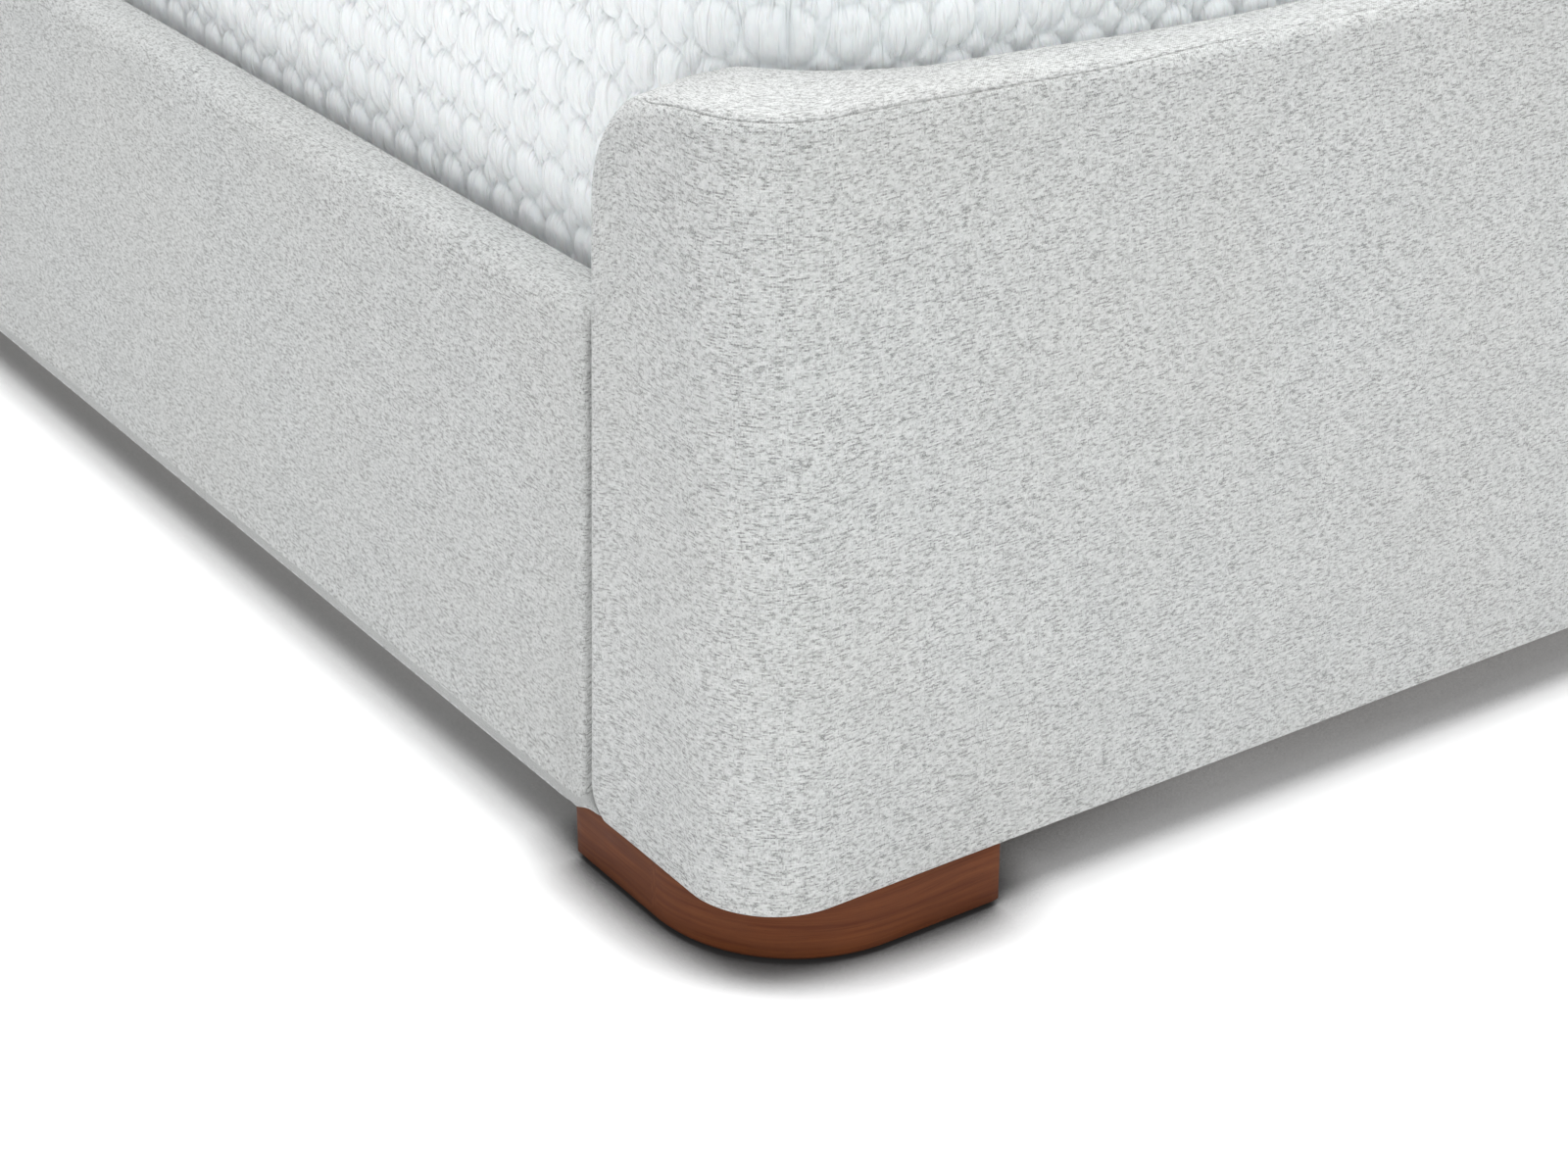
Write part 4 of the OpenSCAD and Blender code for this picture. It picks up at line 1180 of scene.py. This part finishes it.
for side in ("left", "right"):
    finish_piece(rail_cover(side), "frame", LINEN, [f"rail_cover_{side}"])
    finish_piece(rail_foam(side), "frame", FOAM, [f"rail_foam_{side}"])

for foot in ("foot_front_left", "foot_front_right", "foot_rear_left", "foot_rear_right"):
    finish_piece(foot_piece(foot), "frame", STAINED, [foot])

x0, y0 = PLAN_LOW
x1, y1 = PLAN_HIGH
r = MATTRESS_R
across, along_bed = x1 - x0 - 2 * r, y1 - y0 - 2 * r
SEEN, UNSEEN = 0.0024, 0.0032  # mesh spacing on the sides that the photo shows, and on the others
for name, *side in (
        ("left", (x0, y0 + r), (0, 1), (-1, 0), along_bed, SEEN, 60, SIDE_BULGE),
        ("foot", (x0 + r, y0), (1, 0), (0, -1), across, SEEN, 70, CORNER_BULGE),
        ("right", (x1, y0 + r), (0, 1), (1, 0), along_bed, UNSEEN, 80, SIDE_BULGE),
        ("head", (x0 + r, y1), (1, 0), (0, 1), across, UNSEEN, 90, CORNER_BULGE)):
    panel = border_panel(f"mattress_{name}_border", *side)
    finish_piece(panel, "mattress", KNIT, ["mattress_border"])
top = mattress_face("mattress_quilted_top", 0.0046, True)
finish_piece(top, "mattress", SHADED_TOP_KNIT, ["mattress_top_panel"])
base = mattress_face("mattress_base_cloth", 0.02, False)
finish_piece(base, "mattress", KNIT, ["mattress_bottom_panel"])
for name, z, turned in (("upper", BORDER_TOP, 1), ("lower", BORDER_BOTTOM, -1)):
    finish_piece(mattress_tape(f"mattress_{name}_tape", z, turned), "mattress", KNIT)
core_low, core_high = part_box("mattress_core")
core = mattress_foam("mattress_core_block", core_low.z + 0.006, core_high.z - 0.0002, 0.006, 0.010)
finish_piece(core, "mattress", CORE_FOAM, ["mattress_core"])
comfort = mattress_foam("mattress_comfort_block", core_high.z, MATTRESS_HIGH - 0.022, 0.012, 0.010)
finish_piece(comfort, "mattress", FOAM, ["mattress_comfort_layer"])

# the CAD nodes that stay, by how their names start; the longest start that fits a name counts
pine, ply = ((0.62, 0.42, 0.22), (0.42, 0.25, 0.11)), ((0.56, 0.40, 0.22), (0.40, 0.26, 0.13))
finishes = {start: material for material, starts in (
    (wood("pine_across", 0, *pine), "slat_ end_cleats footboard_top_rail footboard_bottom_rail "
                                    "headboard_bottom_rail"),
    (wood("pine_along", 1, *pine), "ledger_ center_beam"),
    (wood("pine_upright", 2, *pine), "footboard_posts center_leg_"),
    (wood("plywood", 2, *ply, ring=0.004), "footboard_corner_blocks headboard_corner_blocks "
                                           "headboard_top_rail headboard_posts rail_board_"),
    (steel_material("zinc_steel"), "rail_bolts barrel_nuts foot_bolts beam_hangers leg_inserts slat_screws"),
    (felt_material("brown_felt"), "foot_pads"),
    (webbing_material("black_webbing"), "slat_straps"),
    (plastic_material("black_nylon"), "leveler_"),
) for start in starts.split()}
for name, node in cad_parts.items():
    start = max(filter(name.startswith, finishes), key=len, default=None)
    if start:
        for place in node.material_slots:
            place.material = finishes[start]
